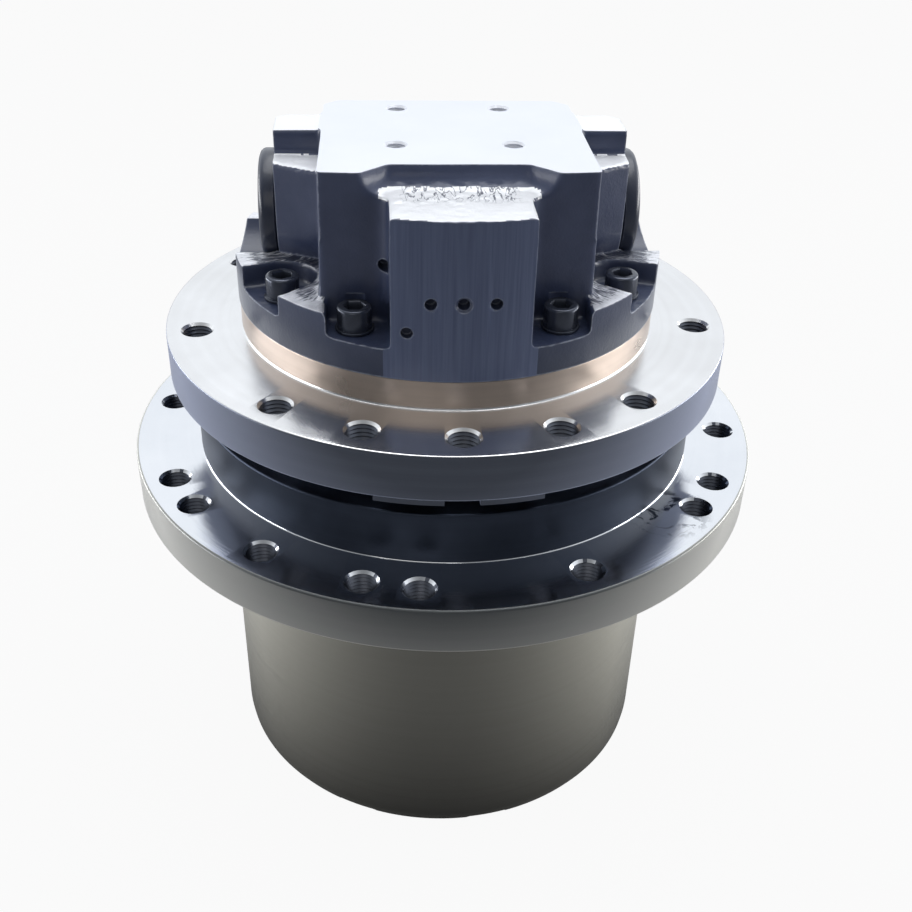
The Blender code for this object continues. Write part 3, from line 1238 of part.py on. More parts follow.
def add_cover(paint):
    """The cover is one casting: a rim with bolt pockets, and the blocks that stand on it."""
    blank = circle_points(COVER_RADIUS + JOIN_DEPTH, LARGE_CIRCLE)
    cover = plate("motor_cover", blank, COVER_BOTTOM, COVER_RIM_TOP, paint)
    for shape in pocket_shapes():
        cut(cover, [shape])
    body = helper([body_shape()])
    cut(body, [notch_shape()])
    rear = box_shape(
        (-PORT_BLOCK_HALF_WIDTH, BODY_BACK - JOIN_DEPTH, COVER_BLOCK_FOOT),
        (PORT_BLOCK_HALF_WIDTH, PORT_BLOCK_FACE, FRAME_FLANGE_TOP + PORT_BLOCK_HEIGHT),
    )
    join(body, [front_block_shape(), rear])
    for side in (-1, 1):
        join(body, [valve_housing_shape(side), valve_pad_shape(side)])
    boolean(cover, body, "UNION")
    tools = []
    for x, y in TOP_HOLES:
        start = (x, y, COVER_TOP - TOP_HOLE_DEPTH)
        end = (x, y, COVER_TOP + CUT_OVERSHOOT)
        tools.append(rod_shape(TOP_HOLE_RADIUS, start, end, HOLE_CIRCLE))
    for x, height in GALLERY_HOLES:
        z = FRAME_FLANGE_TOP + height
        face = -math.sqrt(COVER_RADIUS**2 - x**2)
        start = (x, -COVER_RADIUS - 2 * JOIN_DEPTH, z)
        end = (x, face + GALLERY_HOLE_DEPTH, z)
        tools.append(rod_shape(GALLERY_HOLE_RADIUS, start, end, HOLE_CIRCLE))
    for radius, offset, height in (
        (MAIN_PORT_RADIUS, MAIN_PORT_OFFSET, MAIN_PORT_HEIGHT),
        (SMALL_PORT_RADIUS, SMALL_PORT_OFFSET, SMALL_PORT_HEIGHT),
    ):
        for side in (-1, 1):
            x, z = side * offset, FRAME_FLANGE_TOP + height
            start = (x, PORT_BLOCK_FACE - PORT_DEPTH, z)
            end = (x, PORT_BLOCK_FACE + CUT_OVERSHOOT, z)
            tools.append(rod_shape(radius, start, end, HOLE_CIRCLE))
    spot_faces = []
    for angle in BOLT_ANGLES:
        x, y = polar(BOLT_CIRCLE_RADIUS, angle - 90)
        below, floor = (x, y, COVER_BOTTOM - CUT_OVERSHOOT), (x, y, COVER_FLOOR)
        roof = (x, y, COVER_FLOOR + SPOT_FACE_HEIGHT)
        tools.append(rod_shape(around(BOLT_RADIUS, HOLE_CIRCLE), below, roof, HOLE_CIRCLE))
        spot_faces.append(rod_shape(around(SPOT_FACE_RADIUS, SMALL_CIRCLE), floor, roof, SMALL_CIRCLE))
    tools.append(
        rod_shape(
            TIP_BEARING_RADIUS + SEAT_GAP,
            (0, 0, COVER_BOTTOM - CUT_OVERSHOOT),
            (0, 0, COVER_BOTTOM + TIP_BEARING_DEPTH),
            MIDDLE_CIRCLE,
        )
    )
    cut(cover, tools)
    cut(cover, spot_faces)
    reach = Vector((SHOULDER_FACE + CUT_OVERSHOOT, 0, 0))
    spool_bore = SPOOL_RADIUS + SEAT_GAP
    cut(cover, [rod_shape(spool_bore, VALVE_AXIS - reach, VALVE_AXIS + reach, SMALL_CIRCLE)])
    shank_foot = SHOULDER_FACE - CAP_SHANK_LENGTH - SEAT_GAP
    sockets = []
    for side in (-1, 1):
        start = VALVE_AXIS + Vector((side * shank_foot, 0, 0))
        end = VALVE_AXIS + side * reach
        sockets.append(rod_shape(CAP_SHANK_RADIUS + SEAT_GAP, start, end, MIDDLE_CIRCLE))
    cut(cover, sockets)
    reliefs = []
    for side in (-1, 1):
        start = VALVE_AXIS + Vector((side * SHOULDER_FACE, 0, 0))
        end = VALVE_AXIS + Vector((side * (COVER_RADIUS + 2 * JOIN_DEPTH), 0, 0))
        reliefs.append(rod_shape(CAP_RADIUS + CAP_RELIEF, start, end, MIDDLE_CIRCLE))
    cut(cover, reliefs)
    cut(cover, [turning_shape()])


def add_bolts(steel):
    top = COVER_FLOOR + SEAT_GAP + BOLT_HEAD_HEIGHT
    steps = [
        (BOLT_RADIUS, SPINDLE_TOP - BOLT_REACH),
        (BOLT_RADIUS, COVER_FLOOR + SEAT_GAP),
        (BOLT_COLLAR_RADIUS, COVER_FLOOR + SEAT_GAP),
        (BOLT_COLLAR_RADIUS, COVER_FLOOR + SEAT_GAP + BOLT_COLLAR_HEIGHT),
        (BOLT_HEAD_RADIUS, COVER_FLOOR + SEAT_GAP + BOLT_COLLAR_HEIGHT),
        (BOLT_HEAD_RADIUS, top),
    ]
    pattern = None
    for index, angle in enumerate(BOLT_ANGLES):
        name = f"cover_bolt_{index + 1}"
        place = (*polar(BOLT_CIRCLE_RADIUS, angle - 90), 0)
        if pattern is None:
            shape = socket_screw_shape(steps, top, BOLT_SOCKET_WIDTH, BOLT_SOCKET_DEPTH)
            pattern = finished(name, shape, steel, place)
        else:
            copied(name, pattern, place)


def lying_along_x(made, side):
    """Turns a piece made about Z so that its top points to the side along the valve's axis."""
    made.rotation_euler = (0, side * math.pi / 2, 0)
    made.location = VALVE_AXIS


def add_valve(steel, paint):
    """Counterbalance spool, centred by a spring at each end, between two screwed caps."""
    shank_foot = SHOULDER_FACE - CAP_SHANK_LENGTH
    flange_foot = SHOULDER_FACE + SEAT_GAP
    steps = [
        (CAP_SHANK_RADIUS, shank_foot),
        (CAP_SHANK_RADIUS, flange_foot),
        (CAP_RADIUS, flange_foot),
        (CAP_RADIUS, CAP_FACE - CAP_CHAMFER),
        (CAP_RADIUS - CAP_CHAMFER, CAP_FACE),
    ]
    facets = 2 * SOCKET_CIRCLE
    loops = [[(x, y, z) for x, y in circle_points(r, facets)] for r, z in steps]
    socket = hexagon_points(CAP_SOCKET_WIDTH, facets)
    loops.append([(x, y, CAP_FACE) for x, y in socket])
    loops.append([(x, y, CAP_FACE - CAP_SOCKET_DEPTH) for x, y in socket])
    for side, name in ((-1, "left"), (1, "right")):
        lying_along_x(finished(f"valve_cap_{name}", lofted_shape(loops), paint), side)
    half = SPOOL_LENGTH / 2
    land = half / 4
    profile = [(0, -half), (SPOOL_RADIUS, -half)]
    for start, end in ((-3, -2), (2, 3)):
        profile += [(SPOOL_RADIUS, start * land), (SPOOL_NECK_RADIUS, start * land)]
        profile += [(SPOOL_NECK_RADIUS, end * land), (SPOOL_RADIUS, end * land)]
    profile += [(SPOOL_RADIUS, half), (0, half)]
    spool = turned("counterbalance_spool", profile, SMALL_CIRCLE, steel, closed=False)
    lying_along_x(spool, 1)
    gap = SPOOL_SPRING_WIRE + SEAT_GAP
    for side, name in ((-1, "left"), (1, "right")):
        low, high = half + gap, shank_foot - gap
        count = SPOOL_SPRING_TURNS * HOLE_CIRCLE
        curve = bpy.data.curves.new(f"spool_spring_{name}", "CURVE")
        curve.dimensions = "3D"
        curve.bevel_depth = SPOOL_SPRING_WIRE
        curve.bevel_resolution = 0
        curve.use_fill_caps = True
        curve.materials.append(steel)
        spline = curve.splines.new("POLY")
        spline.points.add(count)
        for index, point in enumerate(spline.points):
            x, y = polar(SPOOL_SPRING_RADIUS, 360 * index / HOLE_CIRCLE)
            point.co = (x, y, low + (high - low) * index / count, 1)
        spring = bpy.data.objects.new(curve.name, curve)
        bpy.context.scene.collection.objects.link(spring)
        lying_along_x(spring, side)


def build():
    clear_scene()
    paint = material("casting_paint", (0.045, 0.055, 0.080), 0.35, 0.0)
    machined = material("machined_flange", (0.60, 0.60, 0.62), 0.25, 1.0)
    hub_paint = material("hub_paint", (0.16, 0.16, 0.14), 0.40, 0.0)
    bolt_steel = material("bolt_steel", (0.06, 0.065, 0.08), 0.35, 0.6)
    gear_steel = material("gear_steel", (0.42, 0.42, 0.44), 0.30, 1.0)
    bearing_steel = material("bearing_steel", (0.70, 0.70, 0.72), 0.15, 1.0)
    bronze = material("bronze", (0.55, 0.38, 0.16), 0.35, 1.0)
    friction = material("friction_lining", (0.22, 0.16, 0.11), 0.80, 0.0)
    rubber = material("rubber", (0.03, 0.03, 0.03), 0.70, 0.0)
    add_spindle(machined)
    add_hub(hub_paint)
    add_end_cover(hub_paint, gear_steel)
    add_gear_train(gear_steel)
    add_main_bearings(bearing_steel, gear_steel)
    add_face_seal(bearing_steel, rubber)
    add_shaft(gear_steel, bearing_steel, rubber)
    add_rotating_group(gear_steel, bronze)
    add_swash_plate(gear_steel, bronze)
    add_brake(gear_steel, friction)
    add_cover(paint)
    add_bolts(bolt_steel)
    add_valve(gear_steel, paint)


build()
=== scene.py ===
"""Looks of the track drive: cast motor cover, machined flanges, coated drum, screws and soft light."""

import json
import math

import bmesh
import bpy
from mathutils import Matrix, Vector, noise


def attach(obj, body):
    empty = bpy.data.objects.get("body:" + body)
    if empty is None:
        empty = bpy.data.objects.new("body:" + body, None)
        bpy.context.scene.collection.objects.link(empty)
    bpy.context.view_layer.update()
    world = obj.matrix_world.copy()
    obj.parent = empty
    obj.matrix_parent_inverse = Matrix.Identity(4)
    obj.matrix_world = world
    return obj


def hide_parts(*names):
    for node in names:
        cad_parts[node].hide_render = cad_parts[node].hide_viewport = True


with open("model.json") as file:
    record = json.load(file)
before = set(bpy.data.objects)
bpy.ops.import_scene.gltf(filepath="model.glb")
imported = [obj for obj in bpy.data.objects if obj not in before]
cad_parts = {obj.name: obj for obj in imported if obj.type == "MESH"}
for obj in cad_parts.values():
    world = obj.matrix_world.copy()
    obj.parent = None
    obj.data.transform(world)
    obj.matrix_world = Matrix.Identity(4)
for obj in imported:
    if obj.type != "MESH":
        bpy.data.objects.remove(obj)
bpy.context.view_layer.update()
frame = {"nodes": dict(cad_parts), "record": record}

# Points round a circle, the cell of the cast skin, and the angle from which an edge stays sharp
ROUND = 192
BORE_ROUND = 96
CAP_ROUND = 72
SCREW_ROUND = 48
HOLE_ROUND = 24
SKIN_CELL = 0.0012
SHARP_ANGLE = math.radians(35)

# The cast skin's slow wave, and the lumps on faces that look up, highest by the cove
WAVE_SCALE = 60
WAVE_HEIGHT = 0.00022
LUMP_SCALE = 330
LUMP_HEIGHT = 0.0002
COVE_LUMP_HEIGHT = 0.0006

# How far a cutting shape reaches past the face that it cuts
OVERCUT = 0.002

# Tapped holes: radius inside the ridges, height of the ridges, and pitch
FLANGE_THREAD = (0.0069, 0.0009, 0.0020)
TOP_THREAD = (0.0042, 0.0007, 0.0016)
THREAD_LEAD = 0.0003

# Frame flange, its pilot and the spindle below them; angles are in degrees from X
FLANGE_TOP = 0.2540
FLANGE_BOTTOM = 0.2316
FLANGE_RADIUS = 0.1400
PILOT_RADIUS = 0.1030
SPINDLE_TOP = 0.2680
FRAME_HOLE_CIRCLE = 0.1250
FRAME_HOLES = 9
EXTRA_HOLE_ANGLES = (-110, -70)
LUG_ANGLES = ((-106.5, -93.5), (-87, -75))
LUG_INNER = 0.1290
LUG_OUTER = 0.1360
LUG_DROP = 0.0050
LUG_ROOT = 0.0080
SPEED_PISTON_BORE = 0.0075
SPEED_PISTON_Y = 0.0430
SPEED_PISTON_FOOT = 0.1437

# Outer steps of the spindle, down to its foot
NECK_RADIUS = 0.1103
NECK_FOOT = 0.2070
SHOULDER_RADIUS = 0.1053
SHOULDER_TOP = 0.2131
UPPER_SEAT_RADIUS = 0.0860
UPPER_SEAT_FOOT = 0.1853
LOWER_SEAT_RADIUS = 0.0800
SPINDLE_FOOT = 0.1088

# Inner steps of the spindle, from its foot up to the motor's chamber
CARRIER_BORE = 0.0563
CARRIER_BORE_TOP = 0.1188
SEAL_BORE = 0.0303
SEAL_BORE_TOP = 0.1258
SHAFT_BORE = 0.0185
BEARING_POCKET = 0.0363
BEARING_POCKET_FOOT = 0.1280
CHAMBER_RADIUS = 0.0600
CHAMBER_FOOT = 0.1500
CHAMBER_TOP = 0.2177
CHAMBER_MOUTH = 0.0660

# Hub; each ring of sprocket holes is a count and every how many one is left out, 0 for none
HUB_TOP = 0.2165
HUB_PILOT_RADIUS = 0.1288
SPROCKET_TOP = 0.1903
SPROCKET_BOTTOM = 0.1673
SPROCKET_RADIUS = 0.1620
SPROCKET_HOLE_CIRCLE = 0.1470
SPROCKET_HOLE_START = 292.5
SPROCKET_HOLE_RINGS = ((12, 0), (9, 3))
HOLE_REACH = 0.0110
DRUM_RADIUS = 0.1170
DRUM_FOOT_EASE = 0.0085
HUB_BORE = 0.1053
HUB_MOUTH_RADIUS = 0.1140
HUB_MOUTH_FOOT = 0.2060
BEARING_STOP_RADIUS = 0.0990
BEARING_STOP_FOOT = 0.1473
BEARING_STOP_TOP = 0.1607
RING_GROOVE_RADIUS = 0.1078
RING_GROOVE_FOOT = 0.0047
RING_GROOVE_TOP = 0.0083
FOOT_NOTCHES = 10
FOOT_NOTCH_START = -80
FOOT_NOTCH_HALF = 0.0110
FOOT_NOTCH_REACH = 0.0080
FOOT_NOTCH_DEPTH = 0.0042

# Drum's foot: end cover, its plugs, and the split ring
LID_RADIUS = 0.1050
LID_LOW = 0.0083
LID_TOP = 0.0200
PLUG_Y = 0.0620
PLUG_HOLE = 0.0094
RING_INNER = 0.1030
RING_OUTER = 0.1075
RING_HALF_GAP = 12

# Motor cover; heights are above the world's floor
COVER_BOTTOM = 0.2683
COVER_FLOOR = 0.2820
COVER_RIM = 0.2928
COVER_TOP = 0.3499
COVER_RADIUS = 0.1035
COVER_FOOT = COVER_FLOOR - 0.006
ALLOWANCE = 0.0030
BODY_HALF = 0.0609
BODY_TOP_HALF = 0.0594
BODY_FRONT = -0.0700
BODY_TOP_FRONT = -0.0728
BODY_TOP_CORNER = -0.0714
BODY_BACK = 0.0336
BACK_CHAMFER = 0.0070
NOTCH_HALF = 0.0420
NOTCH_BACK = -0.0616
NOTCH_CORNER = 0.0075
COVE_RADIUS = 0.0095
FRONT_BLOCK_HALF = 0.0301
FRONT_BLOCK_TOP = COVER_TOP - COVE_RADIUS
FRONT_BLOCK_FILLET = 0.0060
HOUSING_FACE = 0.0812
HOUSING_LEDGE = 0.3380
HOUSING_PAD = 0.3492
HOUSING_FRONT = -0.0240
HOUSING_INNER_FRONT = -0.0357
HOUSING_INSIDE = 0.050
HOUSING_BACK = 0.0306
PAD_HALF = 0.0126
PAD_CHAMFER = 0.0050
PORT_BLOCK_HALF = 0.0330
PORT_BLOCK_FACE = 0.0880
PORT_BLOCK_TOP = 0.3300

# The valve's bore through the cover, and its caps
VALVE_Y = 0.0034
VALVE_Z = 0.3087
SPOOL_BORE = 0.0108
SPRING_BORE = 0.0183
SPRING_BORE_START = 0.0609
CAP_SEAT = 0.0273
CAP_RADIUS = 0.0263
CAP_FACE = 0.0897
VALVE_BORE_END = 0.1250

# Holes in the cover: x and y on the top; x and height over the frame flange on the front block;
# radius, distance from the middle, and height over the frame flange at the ports
TOP_HOLES = ((-0.0260, -0.0350), (0.0260, -0.0350), (-0.0246, 0.0210), (0.0246, 0.0210))
TOP_HOLE_DEPTH = 0.0150
OIL_HOLES = ((-0.0133, 0.0504), (0.0004, 0.0504), (0.0140, 0.0504), (-0.0232, 0.0368))
OIL_HOLE_DEPTH = 0.0070
SIDE_HOLE_X = -0.0318
SIDE_HOLE_Z = 0.3093
SIDE_HOLE_RADIUS = 0.0030
PORTS = ((0.0105, 0.0165, 0.0580), (0.0055, 0.0190, 0.0380))
PORT_DEPTH = 0.0180
TIP_BEARING_BORE = 0.0153
TIP_BEARING_DEPTH = 0.0130

# Screwed caps of the valve's bore
CAP_NECK = 0.0180
CAP_BACK = 0.0815
CAP_SOCKET = 0.0170
CAP_SOCKET_DEPTH = 0.0060

# Cover bolts and their pockets
BOLT_SHANK = 0.0050
BOLT_HEAD = 0.0077
BOLT_COLLAR = 0.0086
BOLT_HEAD_HEIGHT = 0.0110
BOLT_SOCKET = 0.0082
BOLT_SOCKET_DEPTH = 0.0060
BOLT_CIRCLE = 0.0905
BOLT_ANGLES = [angle for angle in range(0, 360, 30) if angle % 90]
BOLT_HOLE = 0.0054
BOLT_HOLE_DEPTH = 0.0186
SPOT_RADIUS = 0.0090
SPOT_HEIGHT = 0.0130
CORNER_POCKET = 0.0160
BLOCK_POCKET_CLEARANCE = 0.0124
POCKET_REACH = 0.012
PORT_POCKET_HALF = 0.034

# Where an oily hand touched the sprocket flange, and how far its smears go before they fade
SMEARED_PLACE = (0.1005, -0.0915, SPROCKET_TOP)
SMEARED_REACH = (0.012, 0.024)

# Scuff lines round the drum: height, half width and strength
SCUFFS = ((0.0925, 0.0007, 0.45), (0.0800, 0.0006, 0.35), (0.1020, 0.0004, 0.25))

# The casting's darker colour low on the rim, and how far over the rim it reaches
LOW_RIM_COLOUR = (0.016, 0.021, 0.034)
LOW_RIM_REACH = 0.014

# Squiggles on the front block's top fade out between these: aside, at the front and at the back
SQUIGGLES_ASIDE = (0.0225, 0.0260)
SQUIGGLES_FRONT = (-0.0820, -0.0760)
SQUIGGLES_BACK = (-0.0640, -0.0600)

# The direction of the white surroundings, and their light on matt surfaces and in mirror images:
# how far along that direction it starts and ends to grow, and its strength at both
WHITE_SIDE = (0.22, 0.975, 0.0)
MATT_LIGHT = (-0.70, 0.35, 0.11, 0.80)
MIRRORED_LIGHT = (-0.70, 0.15, 0.15, 1.0)

# How much of what the camera sees of the floor is plain white
FLOOR_GLOW = 0.94

# Lamps: place, height on the drive's axis that they aim at, width, height, power and colour
LAMPS = {
    "top_window": ((0.1, 0.3, 1.4), 0.25, 1.1, 1.1, 9, (0.97, 0.98, 1.0)),
    "right_window": ((2.1, 0.3, 0.42), 0.2, 2.2, 0.6, 27, (1.0, 0.99, 0.97)),
    "left_window": ((-2.1, 0.3, 0.42), 0.2, 2.2, 0.6, 25, (0.98, 0.985, 1.0)),
    "front_fill": ((-0.6, -2.2, 1.6), 0.2, 1.6, 1.2, 4, (1.0, 0.98, 0.95)),
}

# The photograph's viewpoint
CAMERA_PLACE = (-0.0355, -0.5276, 0.5057)
CAMERA_FORWARD = (0.0674, 0.8374, -0.5425)
CAMERA_LENS = 44.8
CAMERA_ROLL = math.radians(1.55)


# Meshes


def linked(name, data):
    """A new object, linked to the scene."""
    made = bpy.data.objects.new(name, data)
    bpy.context.scene.collection.objects.link(made)
    return made


def shape_object(name, shape):
    """An object made from a bmesh."""
    mesh = bpy.data.meshes.new(name)
    shape.to_mesh(mesh)
    shape.free()
    return linked(name, mesh)


def eased(profile):
    """Rounds the corners of a profile of (radius, height, ease) points; an ease of 0 stays sharp."""
    steps = 4
    points = []
    count = len(profile)
    for index, (radius, height, ease) in enumerate(profile):
        here = Vector((radius, height))
        if ease == 0:
            points.append(here)
            continue
        before = (Vector(profile[index - 1][:2]) - here).normalized() * ease
        after = (Vector(profile[(index + 1) % count][:2]) - here).normalized() * ease
        for step in range(steps + 1):
            share = step / steps
            points.append(here + before * (1 - share) ** 2 + after * share**2)
    return points


def turned(profile, steps=ROUND, closed=True):
    """Spins a profile round Z. An open profile starts and ends on the axis."""
    shape = bmesh.new()
    rings = []
    for step in range(steps):
        angle = 2 * math.pi * step / steps
        cos, sin = math.cos(angle), math.sin(angle)
        rings.append([shape.verts.new((r * cos, r * sin, z)) for r, z in profile])
    last = len(profile) if closed else len(profile) - 1
    for here, there in zip(rings, rings[1:] + rings[:1]):
        for index in range(last):
            after = (index + 1) % len(profile)
            shape.faces.new((here[index], there[index], there[after], here[after]))
    bmesh.ops.remove_doubles(shape, verts=shape.verts, dist=1e-7)
    bmesh.ops.recalc_face_normals(shape, faces=shape.faces)
    return shape


def loft(loops):
    """Joins loops of equally many points, and closes both ends."""
    shape = bmesh.new()
    rows = [[shape.verts.new(point) for point in loop] for loop in loops]
    for lower, upper in zip(rows, rows[1:]):
        for index in range(len(lower)):
            after = (index + 1) % len(lower)
            shape.faces.new((lower[index], lower[after], upper[after], upper[index]))
    shape.faces.new(list(reversed(rows[0])))
    shape.faces.new(rows[-1])
    bmesh.ops.recalc_face_normals(shape, faces=shape.faces)
    return shape


def prism(outline, low, high):
    """Extrudes a flat outline from one height to another."""
    return loft([[(x, y, height) for x, y in outline] for height in (low, high)])


def block(low, high):
    (x0, y0, z0), (x1, y1, z1) = low, high
    return prism([(x0, y0), (x1, y0), (x1, y1), (x0, y1)], z0, z1)


def placed(shape, matrix):
    bmesh.ops.transform(shape, verts=shape.verts, matrix=matrix)
    return shape


def along(start, direction):
    """A matrix that stands Z on a direction, from a starting point."""
    turn = Vector(direction).to_track_quat("Z", "Y").to_matrix().to_4x4()
    return Matrix.Translation(start) @ turn


def rod(radius, start, end, steps=SCREW_ROUND):
    run = Vector(end) - Vector(start)
    profile = [(0, 0), (radius, 0), (radius, run.length), (0, run.length)]
    return placed(turned(profile, steps, closed=False), along(start, run))


def polar(radius, degrees):
    return (radius * math.cos(math.radians(degrees)), radius * math.sin(math.radians(degrees)))


def arc(radius, first, last, count, centre=(0, 0)):
    """Points on an arc, with its angles in degrees."""
    angles = [math.radians(first + (last - first) * i / (count - 1)) for i in range(count)]
    return [(centre[0] + radius * math.cos(a), centre[1] + radius * math.sin(a)) for a in angles]


def circle(radius, count):
    return arc(radius, 0, 360 - 360 / count, count)


def together(name, shapes):
    """One object that holds several shapes side by side."""
    whole = bmesh.new()
    for shape in shapes:
        mesh = bpy.data.meshes.new("part")
        shape.to_mesh(mesh)
        shape.free()
        whole.from_mesh(mesh)
        bpy.data.meshes.remove(mesh)
    return shape_object(name, whole)


def plain_mesh(piece):
    """Applies the piece's modifiers, so that only a plain mesh is left."""
    bpy.context.view_layer.update()
    evaluated = piece.evaluated_get(bpy.context.evaluated_depsgraph_get())
    mesh = bpy.data.meshes.new_from_object(evaluated)
    piece.modifiers.clear()
    piece.data = mesh
    mesh.name = piece.name
    return piece


def boolean(piece, tool, operation):
    step = piece.modifiers.new("Shape", "BOOLEAN")
    step.operation = operation
    step.solver = "EXACT"
    step.object = tool
    plain_mesh(piece)
    bpy.data.objects.remove(tool)
    return piece


def cut(piece, shapes):
    return boolean(piece, together("tool", shapes), "DIFFERENCE")


def add(piece, shapes):
    return boolean(piece, together("tool", shapes), "UNION")


def dressed(piece, finishes, body, stands_for, choose=None):
    """Gives a piece its finishes, smooth shading and its body, and hides the CAD parts that it stands
    for.
    """
    mesh = piece.data
    mesh.materials.clear()
    for finish in finishes:
        mesh.materials.append(finish)
    numbers = [0] * len(mesh.polygons)
    if choose is not None:
        numbers = [finishes.index(choose(face.center, face.normal)) for face in mesh.polygons]
    mesh.polygons.foreach_set("material_index", numbers)
    mesh.shade_smooth()
    mesh.set_sharp_from_angle(angle=SHARP_ANGLE)
    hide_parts(*stands_for)
    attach(piece, body)
    return piece


# Node helpers


def feed(tree, socket, value):
    """Sets a socket to a plain value, or links another socket to it."""
    if isinstance(value, bpy.types.NodeSocket):
        tree.links.new(value, socket)
    else:
        socket.default_value = value


def maths_in(tree, operation, *values):
    step = tree.nodes.new("ShaderNodeMath")
    step.operation = operation
    for socket, value in zip(step.inputs, values):
        feed(tree, socket, value)
    return step.outputs[0]


def vector_in(tree, operation, first, second):
    """Vector maths; gives a single value where the operation does."""
    step = tree.nodes.new("ShaderNodeVectorMath")
    step.operation = operation
    feed(tree, step.inputs[0], first)
    feed(tree, step.inputs[1], second)
    return step.outputs["Value" if operation in ("DOT_PRODUCT", "DISTANCE") else "Vector"]


def spread_in(tree, value, low, high, to_low=0.0, to_high=1.0):
    """Maps a range to another, and keeps to its ends."""
    step = tree.nodes.new("ShaderNodeMapRange")
    names = ("Value", "From Min", "From Max", "To Min", "To Max")
    for name, number in zip(names, (value, low, high, to_low, to_high)):
        feed(tree, step.inputs[name], number)
    return step.outputs["Result"]


def off_in(tree, value, middle):
    """How far a value is off a middle one, either way."""
    return maths_in(tree, "ABSOLUTE", maths_in(tree, "SUBTRACT", value, middle))


# Repeats


def copies_tree():
    """Copies of the piece's own mesh round a circle about Z."""
    tree = bpy.data.node_groups.new("copies_round_a_circle", "GeometryNodeTree")
    face = tree.interface
    face.new_socket("Geometry", in_out="INPUT", socket_type="NodeSocketGeometry")
    for name, kind, value in (
        ("Count", "NodeSocketInt", 8),
        ("Circle Radius", "NodeSocketFloat", 0.1),
        ("First Angle", "NodeSocketFloat", 0.0),
        ("Leave Out Every", "NodeSocketInt", 0),
    ):
        face.new_socket(name, in_out="INPUT", socket_type=kind).default_value = value
    face.new_socket("Finish", in_out="INPUT", socket_type="NodeSocketMaterial")
    face.new_socket("Geometry", in_out="OUTPUT", socket_type="NodeSocketGeometry")
    nodes, link = tree.nodes, tree.links.new
    start, end = nodes.new("NodeGroupInput"), nodes.new("NodeGroupOutput")

    index = nodes.new("GeometryNodeInputIndex").outputs[0]
    turns = maths_in(tree, "MULTIPLY", index, 2 * math.pi)
    turn = maths_in(tree, "DIVIDE", turns, start.outputs["Count"])
    angle = maths_in(tree, "ADD", turn, start.outputs["First Angle"])
    place = nodes.new("ShaderNodeCombineXYZ")
    for socket, operation in zip(place.inputs, ("COSINE", "SINE")):
        share = maths_in(tree, operation, angle)
        link(maths_in(tree, "MULTIPLY", share, start.outputs["Circle Radius"]), socket)
    points = nodes.new("GeometryNodePoints")
    link(start.outputs["Count"], points.inputs["Count"])
    link(place.outputs[0], points.inputs["Position"])
    rest = maths_in(tree, "FLOORED_MODULO", index, start.outputs["Leave Out Every"])
    kept = maths_in(tree, "GREATER_THAN", rest, 0.5)
    every = maths_in(tree, "LESS_THAN", start.outputs["Leave Out Every"], 0.5)
    turned_copy = nodes.new("FunctionNodeAxisAngleToRotation")
    link(angle, turned_copy.inputs["Angle"])
    copies = nodes.new("GeometryNodeInstanceOnPoints")
    link(points.outputs[0], copies.inputs["Points"])
    link(start.outputs["Geometry"], copies.inputs["Instance"])
    link(maths_in(tree, "MAXIMUM", kept, every), copies.inputs["Selection"])
    link(turned_copy.outputs[0], copies.inputs["Rotation"])
    real = nodes.new("GeometryNodeRealizeInstances")
    link(copies.outputs[0], real.inputs[0])
    finish = nodes.new("GeometryNodeSetMaterial")
    link(real.outputs[0], finish.inputs["Geometry"])
    link(start.outputs["Finish"], finish.inputs["Material"])
    link(finish.outputs[0], end.inputs[0])
    return tree


COPIES = copies_tree()


def ring_of(piece, count, radius, first_angle, leave_out=0, finish=None):
    """Makes a piece on the Z axis a plain mesh of copies in a ring, from an angle in degrees."""
    step = piece.modifiers.new("Ring", "NODES")
    step.node_group = COPIES
    values = {
        "Count": count,
        "Circle Radius": radius,
        "First Angle": math.radians(first_angle),
        "Leave Out Every": leave_out,
        "Finish": finish,
    }
    for item in COPIES.interface.items_tree:
        if item.in_out == "INPUT" and values.get(item.name) is not None:
            step[item.identifier] = values[item.name]
    return plain_mesh(piece)


# Finishes


def new_group(name, inputs, outputs):
    """A shader node group with named value inputs and outputs."""
    tree = bpy.data.node_groups.new(name, "ShaderNodeTree")
    for label, value in inputs:
        socket = tree.interface.new_socket(label, in_out="INPUT", socket_type="NodeSocketFloat")
        socket.default_value = value
    for label in outputs:
        tree.interface.new_socket(label, in_out="OUTPUT", socket_type="NodeSocketFloat")
    return tree, tree.nodes.new("NodeGroupInput"), tree.nodes.new("NodeGroupOutput")


def put_out(tree, end, **values):
    """Links values to a group's outputs of the same names."""
    for name, value in values.items():
        tree.links.new(value, end.inputs[name])
    return tree


def place_in(tree):
    return tree.nodes.new("ShaderNodeTexCoord").outputs["Object"]


def parts_in(tree):
    """X, Y and Z of a point."""
    parts = tree.nodes.new("ShaderNodeSeparateXYZ")
    tree.links.new(place_in(tree), parts.inputs[0])
    return parts.outputs


def round_place_in(tree):
    """Radius, angle and height of a point about the Z axis."""
    x, y, z = parts_in(tree)
    squares = [maths_in(tree, "MULTIPLY", side, side) for side in (x, y)]
    return maths_in(tree, "SQRT", maths_in(tree, "ADD", *squares)), maths_in(tree, "ARCTAN2", y, x), z


def noise_in(tree, place, scale, detail, roughness=0.5, distortion=0.0):
    """Noise over a place, or along a line where the place is a single value."""
    single = place.type == "VALUE"
    made = tree.nodes.new("ShaderNodeTexNoise")
    made.noise_dimensions = "1D" if single else "3D"
    tree.links.new(place, made.inputs["W" if single else "Vector"])
    names = ("Scale", "Detail", "Roughness", "Distortion")
    for name, value in zip(names, (scale, detail, roughness, distortion)):
        feed(tree, made.inputs[name], value)
    return made.outputs[0]


